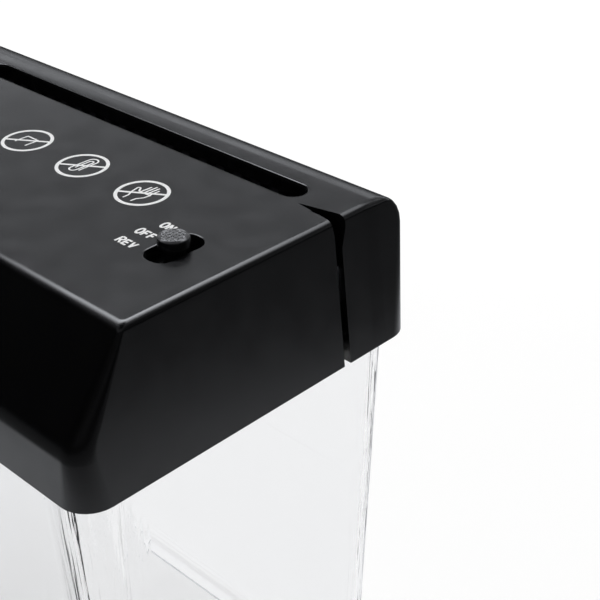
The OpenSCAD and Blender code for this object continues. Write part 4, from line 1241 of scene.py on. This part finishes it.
@dataclass
class Studio:
    """Pale floor, one soft lamp, white surroundings with a room for gloss to show, and the camera."""

    # the camera: its lens in millimetres, its place, and its own axes in the frame
    lens: float = 76.1
    sensor: float = 36.0
    clip: tuple[float, float] = (0.01, 20.0)
    eye: tuple[float, float, float] = (0.2456, -0.1479, 0.2730)
    right: tuple[float, float, float] = (0.7189, 0.6950, -0.0141)
    up: tuple[float, float, float] = (-0.3460, 0.3754, 0.8600)
    back: tuple[float, float, float] = (0.6030, -0.6133, 0.5103)

    # the floor: what gloss sees of it is a pool of light painted round a point, which fades between two
    # distances
    floor_half: float = 1.5
    floor_cloud: float = 60.0
    floor_colours: tuple[str, str] = ("#f3f3f2", "#f7f7f6")
    painted_pool_centre: tuple[float, float, float] = (0.055, 0.03, 0.0)
    painted_pool_fade: tuple[float, float] = (0.24, 0.29)
    painted_pool_rest: float = 0.12
    # its own light, which whitens it away from the object so that the shadow stays
    glow: float = 1.06
    glow_fade: tuple[float, float] = (0.20, 0.55)
    glow_near: float = 0.8

    # the soft lamp
    lamp_place: tuple[float, float, float] = (-0.42, 0.42, 1.17)
    lamp_aim: tuple[float, float, float] = (0.0, 0.0, 0.12)
    lamp_size: float = 0.6
    lamp_power: float = 7.5

    # the room in the gloss: its brightness by height, how its parts die away, and the tint of its light
    skyline: tuple[tuple[float, float], ...] = (
        (0.00, 0.05), (0.10, 0.12), (0.18, 0.30), (0.23, 1.40), (0.29, 1.40), (0.33, 0.15), (0.41, 0.34),
        (0.52, 0.50), (0.60, 0.15), (0.65, 0.20), (0.70, 8.7), (0.87, 8.7), (0.91, 0.2))
    dark_corner: Shade = Shade((-0.7, -0.7, 0.0), 0.45, 0.80, 1.0, 0.03)
    lit_wall: Shade = Shade((-0.7, 0.7, 0.0), -0.20, 0.45, 0.08, 1.0)
    lamp_rows: Shade = Shade((-0.58, 0.81, 0.0), 0.23, 0.46, 0.03, 1.0)
    rear_end: Shade = Shade((0.0, 1.0, 0.0), 0.50, 0.66, 1.0, 0.25)
    lamp_height: Shade = Shade((0.0, 0.0, 1.0), 0.60, 0.70, 0.0, 1.0)
    daylight: tuple[float, float, float, float] = (0.975, 1.0, 1.05, 1.0)

    # the grey of the surroundings that lights everything matt
    fill: float = 0.4

    def camera(self) -> None:
        """A long lens above the front right corner, looking down on the head."""
        data = bpy.data.cameras.new("camera")
        data.lens, data.sensor_width = self.lens, self.sensor
        data.clip_start, data.clip_end = self.clip
        camera = bpy.data.objects.new("camera", data)
        bpy.context.scene.collection.objects.link(camera)
        turn = Matrix((self.right, self.up, self.back)).transposed().to_4x4()
        camera.matrix_world = Matrix.Translation(self.eye) @ turn
        bpy.context.scene.camera = camera

    def direct(self, tree: NodeTree, rays: Node) -> NodeSocket:
        """Whether the camera looks at a thing, straight or through the clear bin.

        Args:
            tree: the tree that the node goes into.
            rays: the tree's light path.

        Returns:
            1 where it does and 0 where it doesn't.
        """
        kinds = {0: rays.outputs["Is Camera Ray"], 1: rays.outputs["Is Transmission Ray"]}
        return add_node(tree, "Math", kinds, operation="MAXIMUM").outputs[0]

    def floor(self) -> None:
        """A pale level floor: white where the camera or the clear bin looks at it, with the shadow kept.

        Gloss sees a painted pool of light on it, like a lit table top that ends a quarter of a metre out in a
        dim room.
        """
        points = np.array([(x, y, 0.0) for x, y in ((-1, -1), (1, -1), (1, 1), (-1, 1))]) * self.floor_half
        mesh = bpy.data.meshes.new("floor")
        mesh.from_pydata(points.tolist(), [], [(0, 1, 2, 3)])
        mesh.materials.append(self.floor_board())
        floor = bpy.data.objects.new("floor", mesh)
        bpy.context.scene.collection.objects.link(floor)

    def floor_board(self) -> Material:
        """Matt white paint on board, mixed with a light of its own where the camera sees it.

        Returns:
            The floor's material.
        """
        material, tree = new_tree("Painted_board_white")
        place = add_node(tree, "TexCoord").outputs["Object"]
        rays = add_node(tree, "LightPath")
        tone, _ = mottled(tree, place, self.floor_cloud, *self.floor_colours)
        # what gloss sees of the floor is a painted pool of light, bright round a point and painted dim beyond
        reach = add_node(tree, "VectorMath", {0: place, 1: self.painted_pool_centre}, operation="DISTANCE")
        away = reach.outputs["Value"]
        pool_share = add_node(tree, "MapRange", {0: away, 1: self.painted_pool_fade[0], 2: self.painted_pool_fade[1], 3: 1.0,
                                          4: self.painted_pool_rest}).outputs[0]
        painted_pool = add_node(tree, "Mix", {0: pool_share, 6: (0, 0, 0, 1), 7: self.daylight}, data_type="RGBA").outputs[2]
        tone = add_node(tree, "Mix", {0: rays.outputs["Is Glossy Ray"], 6: tone, 7: painted_pool},
                        data_type="RGBA").outputs[2]
        matt = add_node(tree, "BsdfPrincipled", {"Base Color": tone, "Roughness": 0.8}).outputs[0]
        glow = add_node(tree, "Emission", {"Color": (1, 1, 1, 1), "Strength": self.glow}).outputs[0]
        far = add_node(tree, "MapRange", {0: away, 1: self.glow_fade[0], 2: self.glow_fade[1],
                                          3: self.glow_near, 4: 1.0}).outputs[0]
        share = add_node(tree, "Math", {0: self.direct(tree, rays), 1: far}, operation="MULTIPLY").outputs[0]
        mix = add_node(tree, "MixShader", {0: share, 1: matt, 2: glow})
        add_node(tree, "OutputMaterial", {"Surface": mix.outputs[0]})
        return material

    def lamp(self) -> None:
        """A soft square lamp high behind the left end, which gloss doesn't show."""
        data = bpy.data.lights.new("overhead_softbox", "AREA")
        data.shape, data.size, data.size_y = "RECTANGLE", self.lamp_size, self.lamp_size
        data.energy = self.lamp_power
        lamp = bpy.data.objects.new("overhead_softbox", data)
        bpy.context.scene.collection.objects.link(lamp)
        lamp.visible_glossy = False
        place, aim = Vector(self.lamp_place), Vector(self.lamp_aim)
        turn = (aim - place).to_track_quat("-Z", "Y").to_matrix().to_4x4()
        lamp.matrix_world = Matrix.Translation(place) @ turn

    def room(self, tree: NodeTree) -> NodeSocket:
        """The room that gloss shows.

        Its strength follows the height of the direction through the pairs in skyline: a dim horizon, a
        band of lit wall, a grey ceiling, and lamps round the zenith. Below lamp_height the walls are
        darkest in the dark corner and bright only on the side of the lit wall. Above it the lamps hang
        on their own side, and get fewer towards the rear end of the room.

        Args:
            tree: the world's nodes.

        Returns:
            The strength in the direction looked in.
        """
        way = add_node(tree, "TexCoord").outputs["Generated"]
        rise = add_node(tree, "SeparateXYZ", {0: way}).outputs["Z"]
        ramp = add_node(tree, "ValToRGB", {0: rise})
        stops = ramp.color_ramp.elements
        for height, _ in self.skyline[2:]:
            stops.new(height)
        for stop, (height, strength) in zip(stops, self.skyline):
            stop.position, stop.color = height, (strength, strength, strength, 1)
        corner, wall, rows, rear, high = (
            shade.mask(tree, way)
            for shade in (self.dark_corner, self.lit_wall, self.lamp_rows, self.rear_end, self.lamp_height))
        walls = add_node(tree, "Math", {0: corner, 1: wall}, operation="MULTIPLY").outputs[0]
        lamps = add_node(tree, "Math", {0: rows, 1: rear}, operation="MULTIPLY").outputs[0]
        share = add_node(tree, "Mix", {0: high, 2: walls, 3: lamps}).outputs[0]
        return add_node(tree, "Math", {0: ramp.outputs["Color"], 1: share}, operation="MULTIPLY").outputs[0]

    def surroundings(self) -> None:
        """Sets up the world.

        It is white where the camera or the clear bin looks at it. Gloss shows the room in cool daylight,
        and a soft grey fills the shadows.
        """
        world = bpy.data.worlds.new("white_studio")
        bpy.context.scene.world = world
        world.use_nodes = True
        tree = world.node_tree
        tree.nodes.clear()
        rays = add_node(tree, "LightPath")
        glossy = rays.outputs["Is Glossy Ray"]
        fill = add_node(tree, "Mix", {0: glossy, 2: self.fill, 3: self.room(tree)}).outputs[0]
        strength = add_node(tree, "Mix", {0: self.direct(tree, rays), 2: fill, 3: 1.0}).outputs[0]
        tone = add_node(tree, "Mix", {0: glossy, 6: (1, 1, 1, 1), 7: self.daylight},
                        data_type="RGBA").outputs[2]
        light = add_node(tree, "Background", {"Color": tone, "Strength": strength})
        add_node(tree, "OutputWorld", {"Surface": light.outputs[0]})

    def build(self) -> None:
        """Sets up the whole studio."""
        self.camera()
        self.floor()
        self.surroundings()
        self.lamp()
        LOG.info("studio: camera, floor, surroundings and lamp")


def main() -> None:
    """Builds the studio and the sub-assemblies in order."""
    logging.basicConfig(level=logging.INFO, format="%(name)s: %(message)s")
    bpy.context.scene.view_settings.view_transform = "Standard"
    kit = Shredder()
    # the panel is the cover's highest plane, at a round height that the frame's metres blur a little
    panel_z = round(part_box("top_cover")[1][2] / MM, 2)
    Studio().build()
    Casing(kit, panel_z).build()
    Legend(kit, panel_z).build()
    Knob(kit).build()
    Inside(kit).build()


if __name__ == "__main__":
    main()
